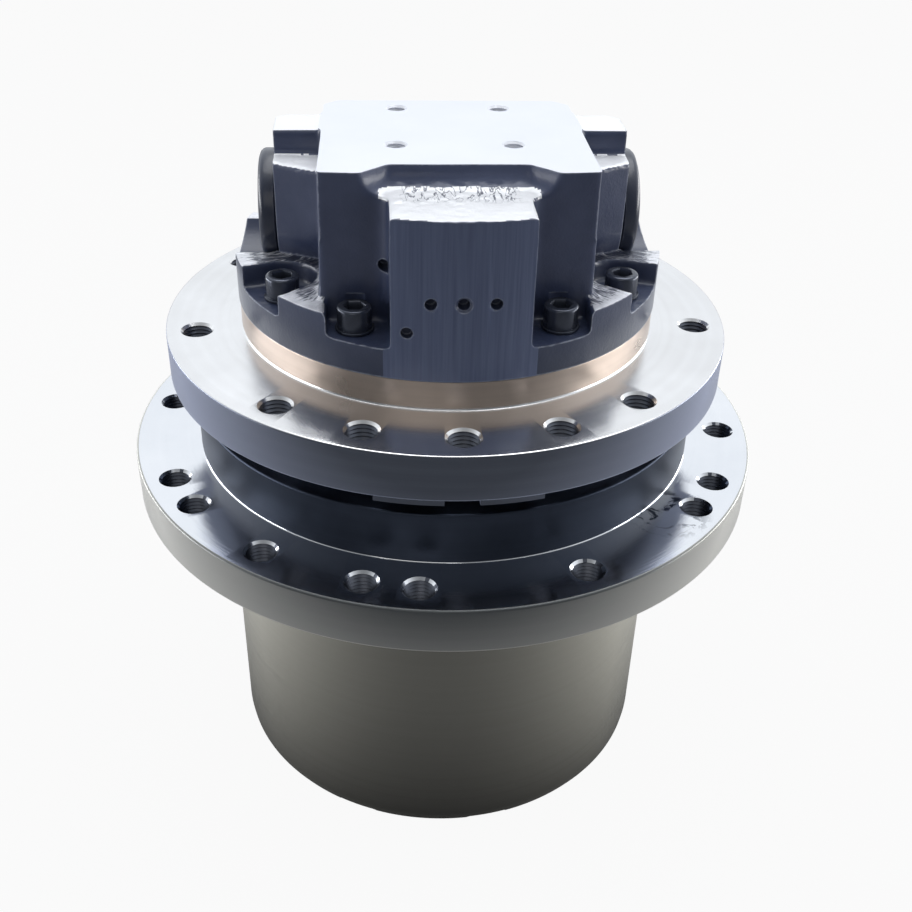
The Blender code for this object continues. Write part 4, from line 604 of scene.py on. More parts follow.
def bevel_in(tree, radius):
    """The surface's direction as it would be with rounded edges."""
    made = tree.nodes.new("ShaderNodeBevel")
    made.samples = 4
    feed(tree, made.inputs["Radius"], radius)
    return made.outputs[0]


def cast_grain_group():
    """Sand-cast skin: fine grain, soft dents, and patches of a different shade."""
    inputs = [("Grain Scale", 900), ("Dent Scale", 120)]
    tree, start, end = new_group("cast_grain", inputs, ["Height", "Shade"])
    place = place_in(tree)
    fine = noise_in(tree, place, start.outputs["Grain Scale"], 3, 0.6)
    dents = noise_in(tree, place, start.outputs["Dent Scale"], 2)
    patches = noise_in(tree, place, 28, 4, 0.6)
    return put_out(tree, end, Height=maths_in(tree, "MULTIPLY_ADD", dents, 1.6, fine), Shade=patches)


def turning_marks_group():
    """Fine rings round the Z axis, as a lathe leaves them, with a slow change from ring to ring."""
    tree, start, end = new_group("turning_marks", [("Rings", 2600)], ["Height", "Shade"])
    radius, _, z = round_place_in(tree)
    where = maths_in(tree, "ADD", radius, z)
    rings = noise_in(tree, maths_in(tree, "MULTIPLY", where, start.outputs["Rings"]), 1.0, 2, 0.6)
    slow = noise_in(tree, maths_in(tree, "MULTIPLY", where, 180), 1.0, 3, 0.6)
    return put_out(tree, end, Height=rings, Shade=slow)


def rim_streaks_group():
    """Lumps drawn out towards the rim, and a mask that grows to the rim's edge."""
    tree, start, end = new_group("rim_streaks", [("Across", 95), ("Along", 150)], ["Height", "Outer"])
    radius, angle, z = round_place_in(tree)
    drawn = tree.nodes.new("ShaderNodeCombineXYZ")
    for socket, part, name in zip(drawn.inputs, (angle, radius, z), ("Across", "Along", "Along")):
        tree.links.new(maths_in(tree, "MULTIPLY", part, start.outputs[name]), socket)
    lumps = noise_in(tree, drawn.outputs[0], 1.0, 4, 0.65, 0.6)
    return put_out(tree, end, Height=lumps, Outer=spread_in(tree, radius, 0.0950, 0.1025))


def brushed_group():
    """Straight fine lines that run along Z."""
    tree, start, end = new_group("brushed_upright", [("Lines", 1500)], ["Height", "Shade"])
    drawn = vector_in(tree, "MULTIPLY", place_in(tree), (1, 1, 0.03))
    lines = noise_in(tree, drawn, start.outputs["Lines"], 2, 0.6)
    return put_out(tree, end, Height=lines, Shade=noise_in(tree, drawn, 620, 3, 0.6))


def smudge_group():
    """Oil film and hand marks: soft blotches, and a few sharp-edged smears."""
    tree, start, end = new_group("oil_smudges", [("Blotch Scale", 14)], ["Film", "Smears"])
    place = place_in(tree)
    blotches = noise_in(tree, place, start.outputs["Blotch Scale"], 4, 0.65)
    smears = noise_in(tree, place, 75, 5, 0.7, 1.2)
    film = spread_in(tree, blotches, 0.35, 0.70)
    return put_out(tree, end, Film=film, Smears=spread_in(tree, smears, 0.52, 0.57))


def edge_wear_and_highlight_group():
    """A mask that is 1 along outer edges, broken up by noise; it marks rubbed paint and a painted
    highlight along the edges.
    """
    tree, start, end = new_group("edge_wear_and_highlight", [("Width", 0.0012), ("Amount", 1.0)], ["Mask"])
    flat = tree.nodes.new("ShaderNodeNewGeometry").outputs["Normal"]
    turn = vector_in(tree, "DOT_PRODUCT", bevel_in(tree, start.outputs["Width"]), flat)
    edge = spread_in(tree, turn, 0.985, 0.80)
    chips = noise_in(tree, place_in(tree), 260, 3, 0.6)
    worn_and_highlit = maths_in(tree, "MULTIPLY", edge, spread_in(tree, chips, 0.30, 0.55))
    return put_out(tree, end, Mask=maths_in(tree, "MULTIPLY", worn_and_highlit, start.outputs["Amount"]))


CAST_GRAIN = cast_grain_group()
TURNING_MARKS = turning_marks_group()
RIM_STREAKS = rim_streaks_group()
BRUSHED = brushed_group()
SMUDGES = smudge_group()
EDGE_WEAR_AND_HIGHLIGHT = edge_wear_and_highlight_group()


def new_finish(name, roughness, metallic=0.0, coat=0.0, coat_roughness=0.1):
    """A material with plain shader values; colour and relief are added to it by node."""
    made = bpy.data.materials.new(name)
    made.use_nodes = True
    shader = made.node_tree.nodes["Principled BSDF"]
    shader.inputs["Roughness"].default_value = roughness
    shader.inputs["Metallic"].default_value = metallic
    shader.inputs["Coat Weight"].default_value = coat
    shader.inputs["Coat Roughness"].default_value = coat_roughness
    return made, made.node_tree, shader


def group_in(tree, group, **values):
    """Places a node group with its own values, and gives its outputs."""
    step = tree.nodes.new("ShaderNodeGroup")
    step.node_tree = group
    for name, value in values.items():
        step.inputs[name.replace("_", " ")].default_value = value
    return step.outputs


def blend_in(tree, share, first, second):
    """Mixes two colours; each is a colour or a socket."""
    step = tree.nodes.new("ShaderNodeMix")
    step.data_type = "RGBA"
    tree.links.new(share, step.inputs["Factor"])
    sockets = [socket for socket in step.inputs if socket.type == "RGBA"]
    for socket, value in zip(sockets, (first, second)):
        feed(tree, socket, (*value, 1) if isinstance(value, tuple) else value)
    return next(socket for socket in step.outputs if socket.type == "RGBA")


def relief(tree, shader, height, strength, distance, rounding=0.0):
    """Bump from a height; with a rounding, sharp edges catch the light as worn ones do."""
    bump = tree.nodes.new("ShaderNodeBump")
    bump.inputs["Strength"].default_value = strength
    bump.inputs["Distance"].default_value = distance
    tree.links.new(height, bump.inputs["Height"])
    if rounding:
        tree.links.new(bevel_in(tree, rounding), bump.inputs["Normal"])
    tree.links.new(bump.outputs[0], shader.inputs["Normal"])


def painted_sheen_in(tree, colour, painted_sheen, foot=None):
    """Paints a sheen: turns a colour paler where the surface is seen at a glance, less so towards a foot
    in painted shade.
    """
    weight = tree.nodes.new("ShaderNodeLayerWeight")
    share = spread_in(tree, weight.outputs["Facing"], 0.20, 0.75)
    if foot is not None:
        share = maths_in(tree, "MULTIPLY", share, foot)
    return blend_in(tree, share, colour, painted_sheen)


def paint_finish(name, dark, light, worn_and_highlit, roughness, depth, wear_and_highlight):
    """Satin paint over a sand casting, darker low on the rim, and paler along its edges: partly rubbed
    through, partly a painted highlight.
    """
    made, tree, shader = new_finish(name, roughness[0], coat=0.35, coat_roughness=0.18)
    skin = group_in(tree, CAST_GRAIN)
    edges = group_in(tree, EDGE_WEAR_AND_HIGHLIGHT, Amount=wear_and_highlight)
    colour = blend_in(tree, spread_in(tree, skin["Shade"], 0.3, 0.7), dark, light)
    # Darker towards the rim's foot.
    low_rim_share = spread_in(tree, parts_in(tree)["Z"], COVER_BOTTOM, COVER_RIM + LOW_RIM_REACH, 0.55, 0.0)
    colour = blend_in(tree, low_rim_share, colour, LOW_RIM_COLOUR)
    # Paler edges: partly rubbed paint, partly a painted highlight.
    colour = blend_in(tree, edges["Mask"], colour, worn_and_highlit)
    tree.links.new(colour, shader.inputs["Base Color"])
    gloss = spread_in(tree, skin["Shade"], 0.3, 0.7, *roughness)
    tree.links.new(gloss, shader.inputs["Roughness"])
    relief(tree, shader, skin["Height"], depth, distance=0.0004, rounding=0.0007)
    return made


def ledge_finish(name, light, pitted):
    """Cast faces that look up, painted near white as a highlight, with dark squiggles where the front
    block's top ends.
    """
    made, tree, shader = new_finish(name, 0.34, metallic=0.15, coat=0.2, coat_roughness=0.15)
    skin = group_in(tree, CAST_GRAIN, Grain_Scale=420, Dent_Scale=190)
    drawn = vector_in(tree, "MULTIPLY", place_in(tree), (1.0, 0.4, 0.4))
    wriggles = noise_in(tree, drawn, 300, 2, 0.6, 0.5)
    lines = spread_in(tree, off_in(tree, wriggles, 0.5), 0.012, 0.034, 0.9, 0.0)
    x, y, _ = parts_in(tree)
    across = spread_in(tree, maths_in(tree, "ABSOLUTE", x), *SQUIGGLES_ASIDE, 1.0, 0.0)
    from_front = spread_in(tree, y, *SQUIGGLES_FRONT)
    to_back = spread_in(tree, y, *SQUIGGLES_BACK, 1.0, 0.0)
    patch = maths_in(tree, "MULTIPLY", maths_in(tree, "MULTIPLY", across, from_front), to_back)
    # The near-white colour is a painted highlight on faces that look up.
    colour = blend_in(tree, maths_in(tree, "MULTIPLY", lines, patch), light, pitted)
    tree.links.new(colour, shader.inputs["Base Color"])
    relief(tree, shader, skin["Height"], 0.3, distance=0.0008, rounding=0.0010)
    return made


def lobe_finish(name, dark, light):
    """Tops of the rim's lobes: streaky painted highlights, brightest along the rim."""
    made, tree, shader = new_finish(name, 0.28, metallic=0.55, coat=0.3, coat_roughness=0.12)
    streaks = group_in(tree, RIM_STREAKS)
    skin = group_in(tree, CAST_GRAIN, Grain_Scale=500, Dent_Scale=150)
    worn_and_highlit = maths_in(tree, "MULTIPLY_ADD", streaks["Outer"], 0.24, streaks["Height"])
    worn_and_highlit = maths_in(tree, "MULTIPLY_ADD", skin["Shade"], 0.70, worn_and_highlit)
    # Painted highlight: near-white streaks, most along the rim's edge.
    colour = blend_in(tree, spread_in(tree, worn_and_highlit, 0.84, 0.98), dark, light)
    tree.links.new(colour, shader.inputs["Base Color"])
    relief(tree, shader, streaks["Height"], 0.8, distance=0.0016, rounding=0.0014)
    return made


def turned_finish(name, dark, light, roughness, metallic, film=0.0, smears=None, painted_sheen=None):
    """Metal turned on a lathe: fine rings, and a thin uneven film of oil that may be smeared; where
    given, a painted sheen where it is seen at a glance.
    """
    made, tree, shader = new_finish(name, roughness[0], metallic)
    marks = group_in(tree, TURNING_MARKS)
    oil = group_in(tree, SMUDGES)
    rings_shade = maths_in(tree, "MULTIPLY", marks["Shade"], 1 - film)
    shade = maths_in(tree, "MULTIPLY_ADD", oil["Film"], film, rings_shade)
    colour = blend_in(tree, shade, dark, light)
    if smears is not None:
        away = vector_in(tree, "DISTANCE", place_in(tree), SMEARED_PLACE)
        near = spread_in(tree, away, *SMEARED_REACH, 1.0, 0.0)
        colour = blend_in(tree, maths_in(tree, "MULTIPLY", near, oil["Smears"]), colour, smears)
    # Painted sheen: paler where the surface is seen at a glance.
    if painted_sheen is not None:
        colour = painted_sheen_in(tree, colour, painted_sheen)
    tree.links.new(colour, shader.inputs["Base Color"])
    tree.links.new(spread_in(tree, oil["Film"], 0, 1, *roughness), shader.inputs["Roughness"])
    relief(tree, shader, marks["Height"], 0.10, distance=0.0002)
    return made


def brushed_finish(name, dark, light, worn_and_highlit):
    """A flat milled face, with fine upright lines and paler edges: partly rubbed, partly a painted
    highlight.
    """
    made, tree, shader = new_finish(name, 0.34, metallic=0.2, coat=0.25, coat_roughness=0.15)
    marks = group_in(tree, BRUSHED)
    edges = group_in(tree, EDGE_WEAR_AND_HIGHLIGHT, Amount=0.4)
    colour = blend_in(tree, spread_in(tree, marks["Shade"], 0.3, 0.7), dark, light)
    # Paler edges: partly rubbed, partly a painted highlight.
    colour = blend_in(tree, edges["Mask"], colour, worn_and_highlit)
    tree.links.new(colour, shader.inputs["Base Color"])
    relief(tree, shader, marks["Height"], 0.25, distance=0.0003, rounding=0.0007)
    return made


def drum_finish(name, dark, light, painted_foot_shade, scuffed, painted_sheen):
    """A coat on the drum, darker towards its foot with painted shade, paler at a glance with a painted
    sheen, and with a few scuff lines.
    """
    made, tree, shader = new_finish(name, 0.36, metallic=0.3, coat=0.5, coat_roughness=0.24)
    marks = group_in(tree, TURNING_MARKS, Rings=900)
    oil = group_in(tree, SMUDGES, Blotch_Scale=9)
    z = parts_in(tree)["Z"]
    colour = blend_in(tree, oil["Film"], dark, light)
    # Painted shade: darker towards the drum's foot.
    colour = blend_in(tree, spread_in(tree, z, 0.000, 0.140, 0.92, 0.0), colour, painted_foot_shade)
    for height, half, strength in SCUFFS:
        line = spread_in(tree, off_in(tree, z, height), half, 2 * half, strength, 0.0)
        colour = blend_in(tree, maths_in(tree, "MULTIPLY", line, oil["Film"]), colour, scuffed)
    # Painted sheen at a glance, with less of it towards the foot as painted shade.
    colour = painted_sheen_in(tree, colour, painted_sheen, spread_in(tree, z, 0.000, 0.145, 0.10, 1.0))
    tree.links.new(colour, shader.inputs["Base Color"])
    gloss = spread_in(tree, marks["Shade"], 0.3, 0.7, 0.34, 0.48)
    tree.links.new(gloss, shader.inputs["Roughness"])
    relief(tree, shader, marks["Height"], 0.12, distance=0.0004)
    return made


def plain_finish(name, dark, light, roughness, metallic, scale, coat=0.0):
    """A quiet finish: two close shades with a fine grain."""
    made, tree, shader = new_finish(name, roughness, metallic, coat)
    place = place_in(tree)
    colour = blend_in(tree, noise_in(tree, place, scale, 3), dark, light)
    tree.links.new(colour, shader.inputs["Base Color"])
    relief(tree, shader, noise_in(tree, place, 1400, 2), 0.1, distance=0.0003)
    return made


NAVY = paint_finish(
    "navy_casting",
    dark=(0.042, 0.056, 0.114),
    light=(0.070, 0.088, 0.164),
    # Edge colour: rubbed paint and a painted highlight
    worn_and_highlit=(0.60, 0.64, 0.76),
    roughness=(0.28, 0.40),
    depth=0.35,
    wear_and_highlight=0.9,
)
CAP_PAINT = paint_finish(
    "cap_paint",
    dark=(0.020, 0.026, 0.048),
    light=(0.032, 0.040, 0.068),
    # Edge colour: rubbed paint and a painted highlight
    worn_and_highlit=(0.40, 0.43, 0.52),
    roughness=(0.26, 0.36),
    depth=0.2,
    wear_and_highlight=0.6,
)
# Lobe tops: navy with streaks of painted highlight in near white.
HIGHLIT_LOBES = lobe_finish("rim_lobes_highlit", (0.050, 0.060, 0.100), (0.92, 0.93, 0.98))
# Faces that look up: a painted highlight in near white, with dark squiggles.
HIGHLIT_LEDGES = ledge_finish("cast_ledges_highlit", (0.94, 0.95, 0.98), (0.060, 0.070, 0.110))
MILLED_TOP = plain_finish("milled_top", (0.82, 0.84, 0.92), (0.90, 0.91, 0.96), 0.32, 0.9, scale=30)
MILLED_FRONT = brushed_finish(
    # Edge colour: rubbed paint and a painted highlight
    "milled_front", dark=(0.088, 0.112, 0.200), light=(0.122, 0.152, 0.254), worn_and_highlit=(0.55, 0.58, 0.68)
)
BRIGHT_STEEL = turned_finish(
    "turned_bright",
    dark=(0.80, 0.79, 0.79),
    light=(0.95, 0.95, 0.96),
    roughness=(0.15, 0.24),
    metallic=1.0,
    film=0.5,
)
PILOT_BAND = turned_finish(
    "turned_brown",
    dark=(0.42, 0.35, 0.30),
    light=(0.60, 0.50, 0.43),
    roughness=(0.26, 0.36),
    metallic=0.9,
    film=0.5,
)
DARK_STEEL = turned_finish(
    "turned_side",
    dark=(0.080, 0.092, 0.120),
    light=(0.115, 0.130, 0.165),
    roughness=(0.28, 0.38),
    metallic=0.45,
    # Painted sheen where the flange's side is seen at a glance
    painted_sheen=(0.50, 0.55, 0.72),
)
OILED_STEEL = turned_finish(
    "oiled_bright",
    dark=(0.82, 0.84, 0.88),
    light=(0.94, 0.95, 0.98),
    roughness=(0.07, 0.14),
    metallic=1.0,
    film=0.6,
    smears=(0.08, 0.09, 0.12),
)
DARK_PILOT = turned_finish(
    "oiled_dark",
    dark=(0.036, 0.044, 0.064),
    light=(0.056, 0.068, 0.096),
    roughness=(0.36, 0.44),
    metallic=1.0,
    film=0.6,
)
SPROCKET_SIDE = turned_finish(
    "sprocket_rim",
    dark=(0.085, 0.093, 0.098),
    light=(0.125, 0.131, 0.130),
    roughness=(0.28, 0.38),
    metallic=0.45,
    # Painted sheen where the sprocket's rim is seen at a glance
    painted_sheen=(0.97, 0.96, 0.90),
)
OLIVE = drum_finish(
    "olive_coat",
    dark=(0.062, 0.061, 0.051),
    light=(0.082, 0.080, 0.067),
    # Painted shade towards the drum's foot
    painted_foot_shade=(0.018, 0.0175, 0.015),
    scuffed=(0.045, 0.043, 0.036),
    # Painted sheen where the drum is seen at a glance
    painted_sheen=(0.95, 0.92, 0.79),
)
BLACK_BOLT = plain_finish(
    "black_oxide", (0.050, 0.058, 0.080), (0.085, 0.095, 0.125), 0.26, 0.6, scale=300, coat=0.3
)
# Hole walls: steel darkened as painted shade inside the holes.
HOLE_PAINTED_SHADE = plain_finish("bored_steel_painted_shade", (0.09, 0.10, 0.13), (0.18, 0.19, 0.22), 0.30, 1.0, scale=200)
BRIGHT_HOLE = plain_finish("tapped_bright", (0.80, 0.82, 0.88), (0.90, 0.91, 0.95), 0.35, 0.3, scale=200)

# The finish for each slot of the record: two shades, roughness, metallic value and scale
FINISHES = {
    "casting_paint": NAVY,
    "machined_flange": BRIGHT_STEEL,
    "hub_paint": OLIVE,
    "bolt_steel": BLACK_BOLT,
}
for slot, name, *values in (
    ("gear_steel", "ground_steel", (0.36, 0.36, 0.38), (0.46, 0.46, 0.48), 0.28, 1.0, 60),
    ("bearing_steel", "polished_steel", (0.62, 0.62, 0.64), (0.72, 0.72, 0.74), 0.12, 1.0, 60),
    ("bronze", "bearing_bronze", (0.48, 0.32, 0.13), (0.60, 0.42, 0.19), 0.32, 1.0, 60),
    ("friction_lining", "brake_lining", (0.16, 0.11, 0.08), (0.26, 0.19, 0.13), 0.80, 0.0, 500),
    ("rubber", "seal_rubber", (0.020, 0.020, 0.020), (0.035, 0.035, 0.035), 0.60, 0.0, 200),
):
    FINISHES[slot] = plain_finish(name, *values)


# Pieces


def thread_profile(radius, depth, pitch, top, bottom):
    """A tapped hole: a chamfered mouth, then ridges one pitch apart."""
    mouth = radius + depth + THREAD_LEAD
    height = top - (mouth - radius)
    points = [(0, top + OVERCUT), (mouth, top + OVERCUT), (mouth, top), (radius, height)]
    while height - pitch > bottom:
        points.append((radius + depth, height - pitch / 2))
        height -= pitch
        points.append((radius, height))
    return points + [(radius, bottom - OVERCUT), (0, bottom - OVERCUT)]


def flange_thread(top, bottom):
    return turned(thread_profile(*FLANGE_THREAD, top, bottom), HOLE_ROUND, closed=False)


def make_spindle():
    """The frame flange with its pilot and tapped holes, and the bored spindle below it."""
    profile = eased(
        [
            (CHAMBER_MOUTH, SPINDLE_TOP, 0.0006),
            (PILOT_RADIUS, SPINDLE_TOP, 0.0008),
            (PILOT_RADIUS, FLANGE_TOP, 0.0010),
            (FLANGE_RADIUS, FLANGE_TOP, 0.0010),
            (FLANGE_RADIUS, FLANGE_BOTTOM, 0.0010),
            (NECK_RADIUS, FLANGE_BOTTOM, 0.0008),
            (NECK_RADIUS, NECK_FOOT, 0.0005),
            (SHOULDER_RADIUS, NECK_FOOT, 0),
            (SHOULDER_RADIUS, SHOULDER_TOP, 0),
            (UPPER_SEAT_RADIUS, SHOULDER_TOP, 0),
            (UPPER_SEAT_RADIUS, UPPER_SEAT_FOOT, 0),
            (LOWER_SEAT_RADIUS, UPPER_SEAT_FOOT, 0),
            (LOWER_SEAT_RADIUS, SPINDLE_FOOT, 0.0006),
            (CARRIER_BORE, SPINDLE_FOOT, 0),
            (CARRIER_BORE, CARRIER_BORE_TOP, 0),
            (SEAL_BORE, CARRIER_BORE_TOP, 0),
            (SEAL_BORE, SEAL_BORE_TOP, 0),
            (SHAFT_BORE, SEAL_BORE_TOP, 0),
            (SHAFT_BORE, BEARING_POCKET_FOOT, 0),
            (BEARING_POCKET, BEARING_POCKET_FOOT, 0),
            (BEARING_POCKET, CHAMBER_FOOT, 0),
            (CHAMBER_RADIUS, CHAMBER_FOOT, 0),
            (CHAMBER_RADIUS, CHAMBER_TOP, 0),
            (CHAMBER_MOUTH, CHAMBER_TOP, 0),
        ]
    )
    piece = shape_object("frame_flange", turned(profile))
    lugs = []
    for first, last in LUG_ANGLES:
        outline = arc(LUG_OUTER, first, last, 7) + arc(LUG_INNER, last, first, 7)
        lugs.append(prism(outline, FLANGE_BOTTOM - LUG_DROP, FLANGE_BOTTOM + LUG_ROOT))
    add(piece, lugs)
    ring = shape_object("ring", flange_thread(FLANGE_TOP, FLANGE_BOTTOM))
    boolean(piece, ring_of(ring, FRAME_HOLES, FRAME_HOLE_CIRCLE, -90), "DIFFERENCE")
    extra = []
    for angle in EXTRA_HOLE_ANGLES:
        place = Matrix.Translation((*polar(FRAME_HOLE_CIRCLE, angle), 0))
        extra.append(placed(flange_thread(FLANGE_TOP, FLANGE_BOTTOM), place))
    for angle in BOLT_ANGLES:
        x, y = polar(BOLT_CIRCLE, angle)
        start, end = (x, y, SPINDLE_TOP - BOLT_HOLE_DEPTH), (x, y, SPINDLE_TOP + OVERCUT)
        extra.append(rod(BOLT_HOLE, start, end, HOLE_ROUND))
    start, end = (0, SPEED_PISTON_Y, SPEED_PISTON_FOOT), (0, SPEED_PISTON_Y, CHAMBER_FOOT + OVERCUT)
    extra.append(rod(SPEED_PISTON_BORE, start, end, HOLE_ROUND))
    cut(piece, extra)

    def finish_of(centre, normal):
        """Small margins in these tests take in the eased corners."""
        radius = math.hypot(centre.x, centre.y)
        if radius > FLANGE_RADIUS - 0.0002 or centre.z < FLANGE_BOTTOM + 0.0002:
            return DARK_STEEL
        upright = abs(normal.z) < 0.9
        # Walls of the flange's holes get painted shade.
        if FLANGE_BOTTOM < centre.z < FLANGE_TOP - 0.0015 and PILOT_RADIUS + 0.001 < radius and upright:
            return HOLE_PAINTED_SHADE
        if centre.z > FLANGE_TOP + 0.0008 and upright:
            return PILOT_BAND
        return BRIGHT_STEEL

    finishes = [BRIGHT_STEEL, DARK_STEEL, HOLE_PAINTED_SHADE, PILOT_BAND]
    return dressed(piece, finishes, "spindle_side", ["spindle"], finish_of)


def make_hub():
    """Drum, sprocket flange and pilot in one casting, turned where the sprocket sits."""
    profile = eased(
        [
            (HUB_MOUTH_RADIUS, HUB_TOP, 0.0006),
            (HUB_PILOT_RADIUS, HUB_TOP, 0.0014),
            (HUB_PILOT_RADIUS, SPROCKET_TOP, 0.0008),
            (SPROCKET_RADIUS, SPROCKET_TOP, 0.0012),
            (SPROCKET_RADIUS, SPROCKET_BOTTOM, 0.0012),
            (DRUM_RADIUS, SPROCKET_BOTTOM, 0.0030),
            (DRUM_RADIUS, 0.0, DRUM_FOOT_EASE),
            (HUB_BORE, 0.0, 0.0008),
            (HUB_BORE, RING_GROOVE_FOOT, 0),
            (RING_GROOVE_RADIUS, RING_GROOVE_FOOT, 0),
            (RING_GROOVE_RADIUS, RING_GROOVE_TOP, 0),
            (HUB_BORE, RING_GROOVE_TOP, 0),
            (HUB_BORE, BEARING_STOP_FOOT, 0),
            (BEARING_STOP_RADIUS, BEARING_STOP_FOOT, 0),
            (BEARING_STOP_RADIUS, BEARING_STOP_TOP, 0),
            (HUB_BORE, BEARING_STOP_TOP, 0),
            (HUB_BORE, HUB_MOUTH_FOOT, 0),
            (HUB_MOUTH_RADIUS, HUB_MOUTH_FOOT, 0),
        ]
    )
    piece = shape_object("hub_casting", turned(profile))
    for count, leave_out in SPROCKET_HOLE_RINGS:
        thread = shape_object("ring", flange_thread(SPROCKET_TOP, SPROCKET_BOTTOM))
        ring = ring_of(thread, count, SPROCKET_HOLE_CIRCLE, SPROCKET_HOLE_START, leave_out)
        boolean(piece, ring, "DIFFERENCE")
    wall = (DRUM_RADIUS + HUB_BORE) / 2 - 0.0005
    reach, half = FOOT_NOTCH_REACH, FOOT_NOTCH_HALF
    outline = [(-reach, -half), (reach, -half), (reach, half), (-reach, half)]
    notch = loft(
        [
            [(x, y, -OVERCUT) for x, y in outline],
            [(x, y, FOOT_NOTCH_DEPTH - 0.0015) for x, y in outline],
            [(x, y * 0.88, FOOT_NOTCH_DEPTH) for x, y in outline],
        ]
    )
    notches = ring_of(shape_object("notches", notch), FOOT_NOTCHES, wall, FOOT_NOTCH_START)
    boolean(piece, notches, "DIFFERENCE")

    def finish_of(centre, normal):
        """Small margins in these tests take in the eased corners."""
        radius = math.hypot(centre.x, centre.y)
        if centre.z > SPROCKET_TOP + 0.0004:
            return DARK_PILOT
        if centre.z > SPROCKET_TOP - 0.0006 and radius < SPROCKET_RADIUS - 0.0011:
            return OILED_STEEL
        if radius > SPROCKET_RADIUS - 0.0013 and centre.z > SPROCKET_BOTTOM + 0.0002:
            return SPROCKET_SIDE
        # Walls of the sprocket holes get painted shade.
        near_circle = abs(radius - SPROCKET_HOLE_CIRCLE) < HOLE_REACH
        in_holes = near_circle and SPROCKET_BOTTOM < centre.z < SPROCKET_TOP
        return HOLE_PAINTED_SHADE if in_holes and abs(normal.z) < 0.95 else OLIVE

    finishes = [OLIVE, OILED_STEEL, HOLE_PAINTED_SHADE, DARK_PILOT, SPROCKET_SIDE]
    return dressed(piece, finishes, "hub_side", ["hub"], finish_of)


def mirrored(right, height):
    """A level loop from the right half of its outline, front to back."""
    return [(x, y, height) for x, y in right + [(-x, y) for x, y in reversed(right)]]


def pocket_shapes():
    """Pockets in the rim: round and square ones for the bolts, and one before the ports."""
    above = COVER_RIM + 0.010
    outside = COVER_RADIUS + POCKET_REACH
    half_angle = math.degrees(math.asin(CORNER_POCKET / BOLT_CIRCLE))
    near_ports = (-PORT_POCKET_HALF, PORT_BLOCK_FACE - 0.001, COVER_FLOOR)
    shapes = [block(near_ports, (PORT_POCKET_HALF, outside, above))]
    for angle in (-150, -30, 30, 150):
        centre = polar(BOLT_CIRCLE, angle)
        outline = arc(CORNER_POCKET, angle + 90 + half_angle, angle + 270 - half_angle, 25, centre)
        outline += [polar(outside, angle - half_angle), polar(outside, angle + half_angle)]
        shapes.append(prism(outline, COVER_FLOOR, above))
    bolt_x, bolt_y = polar(BOLT_CIRCLE, 60)
    for side in (-1, 1):
        for half, near, far in (
            (FRONT_BLOCK_HALF, -outside, BODY_FRONT + 0.001),
            (PORT_BLOCK_HALF, bolt_y - BLOCK_POCKET_CLEARANCE, outside),
        ):
            low, high = sorted((side * half, side * (bolt_x + BLOCK_POCKET_CLEARANCE)))
            shapes.append(block((low, near, COVER_FLOOR), (high, far, above)))
    return shapes


def body_shape():
    """The main block, a little wider at its foot."""
    loops = []
    for height, half, front, corner in (
        (COVER_FOOT, BODY_HALF, BODY_FRONT, BODY_FRONT),
        (COVER_TOP, BODY_TOP_HALF, BODY_TOP_FRONT, BODY_TOP_CORNER),
        (COVER_TOP + ALLOWANCE, BODY_TOP_HALF, BODY_TOP_FRONT, BODY_TOP_CORNER),
    ):
        right = [
            (NOTCH_HALF, front),
            (half, corner),
            (half, BODY_BACK - BACK_CHAMFER),
            (half - BACK_CHAMFER, BODY_BACK),
        ]
        loops.append(mirrored(right, height))
    return loft(loops)


def notch_shape():
    """The hollow above the front block: a cove whose sides slant in to its back."""
    steps = 12
    slant = (NOTCH_HALF - FRONT_BLOCK_HALF) / (NOTCH_BACK - BODY_TOP_FRONT)
    levels = []
    for step in range(steps + 1):
        angle = math.pi / 2 * step / steps
        rest = 1 - math.sin(angle)
        height = COVER_TOP - COVE_RADIUS * math.cos(angle)
        levels.append((NOTCH_BACK - COVE_RADIUS * rest, height, NOTCH_CORNER * rest))
    levels.append((NOTCH_BACK, COVER_TOP + 2 * ALLOWANCE, 0))
    loops = []
    for back, height, inset in levels:
        depths = (BODY_TOP_FRONT - 0.006, back)
        right = [(FRONT_BLOCK_HALF + slant * (NOTCH_BACK - y) - inset, y) for y in depths]
        loops.append(mirrored(right, height))
    return loft(loops)


def front_block_shape():
    """The block on the rim's front, with a hollow fillet on each side of its foot on the body."""
    rise = (FRONT_BLOCK_TOP - COVER_FOOT) / (COVER_TOP - COVER_FOOT)
    loops = []
    for height, front in (
        (COVER_FOOT, BODY_FRONT),
        (FRONT_BLOCK_TOP, BODY_FRONT + rise * (BODY_TOP_FRONT - BODY_FRONT)),
    ):
        centre = (FRONT_BLOCK_HALF + FRONT_BLOCK_FILLET, front - FRONT_BLOCK_FILLET)
        right = [(FRONT_BLOCK_HALF, -COVER_RADIUS - POCKET_REACH)]
        right += arc(FRONT_BLOCK_FILLET, 180, 90, 9, centre)
        right.append((centre[0], front + 0.005))
        loops.append(mirrored(right, height))
    return loft(loops)


def housing_shape(side):
    """The valve housing: flat above the valve's axis, half round below it."""
    steps = 16
    depth = HOUSING_BACK - VALVE_Y
    slope = (HOUSING_FRONT - HOUSING_INNER_FRONT) / (HOUSING_FACE - BODY_HALF)
    loops = []
    for x, front in (
        (HOUSING_INSIDE, HOUSING_INNER_FRONT),
        (BODY_HALF, HOUSING_INNER_FRONT),
        (HOUSING_FACE + ALLOWANCE, HOUSING_FRONT + slope * ALLOWANCE),
    ):
        section = [(HOUSING_BACK, HOUSING_LEDGE), (front, HOUSING_LEDGE)]
        for step in range(steps + 1):
            angle = math.pi * (1 + step / steps)
            reach = VALVE_Y - front if step < steps / 2 else depth
            section.append((VALVE_Y + reach * math.cos(angle), VALVE_Z + depth * math.sin(angle)))
        loops.append([(side * x, y, z) for y, z in section])
    return loft(loops)


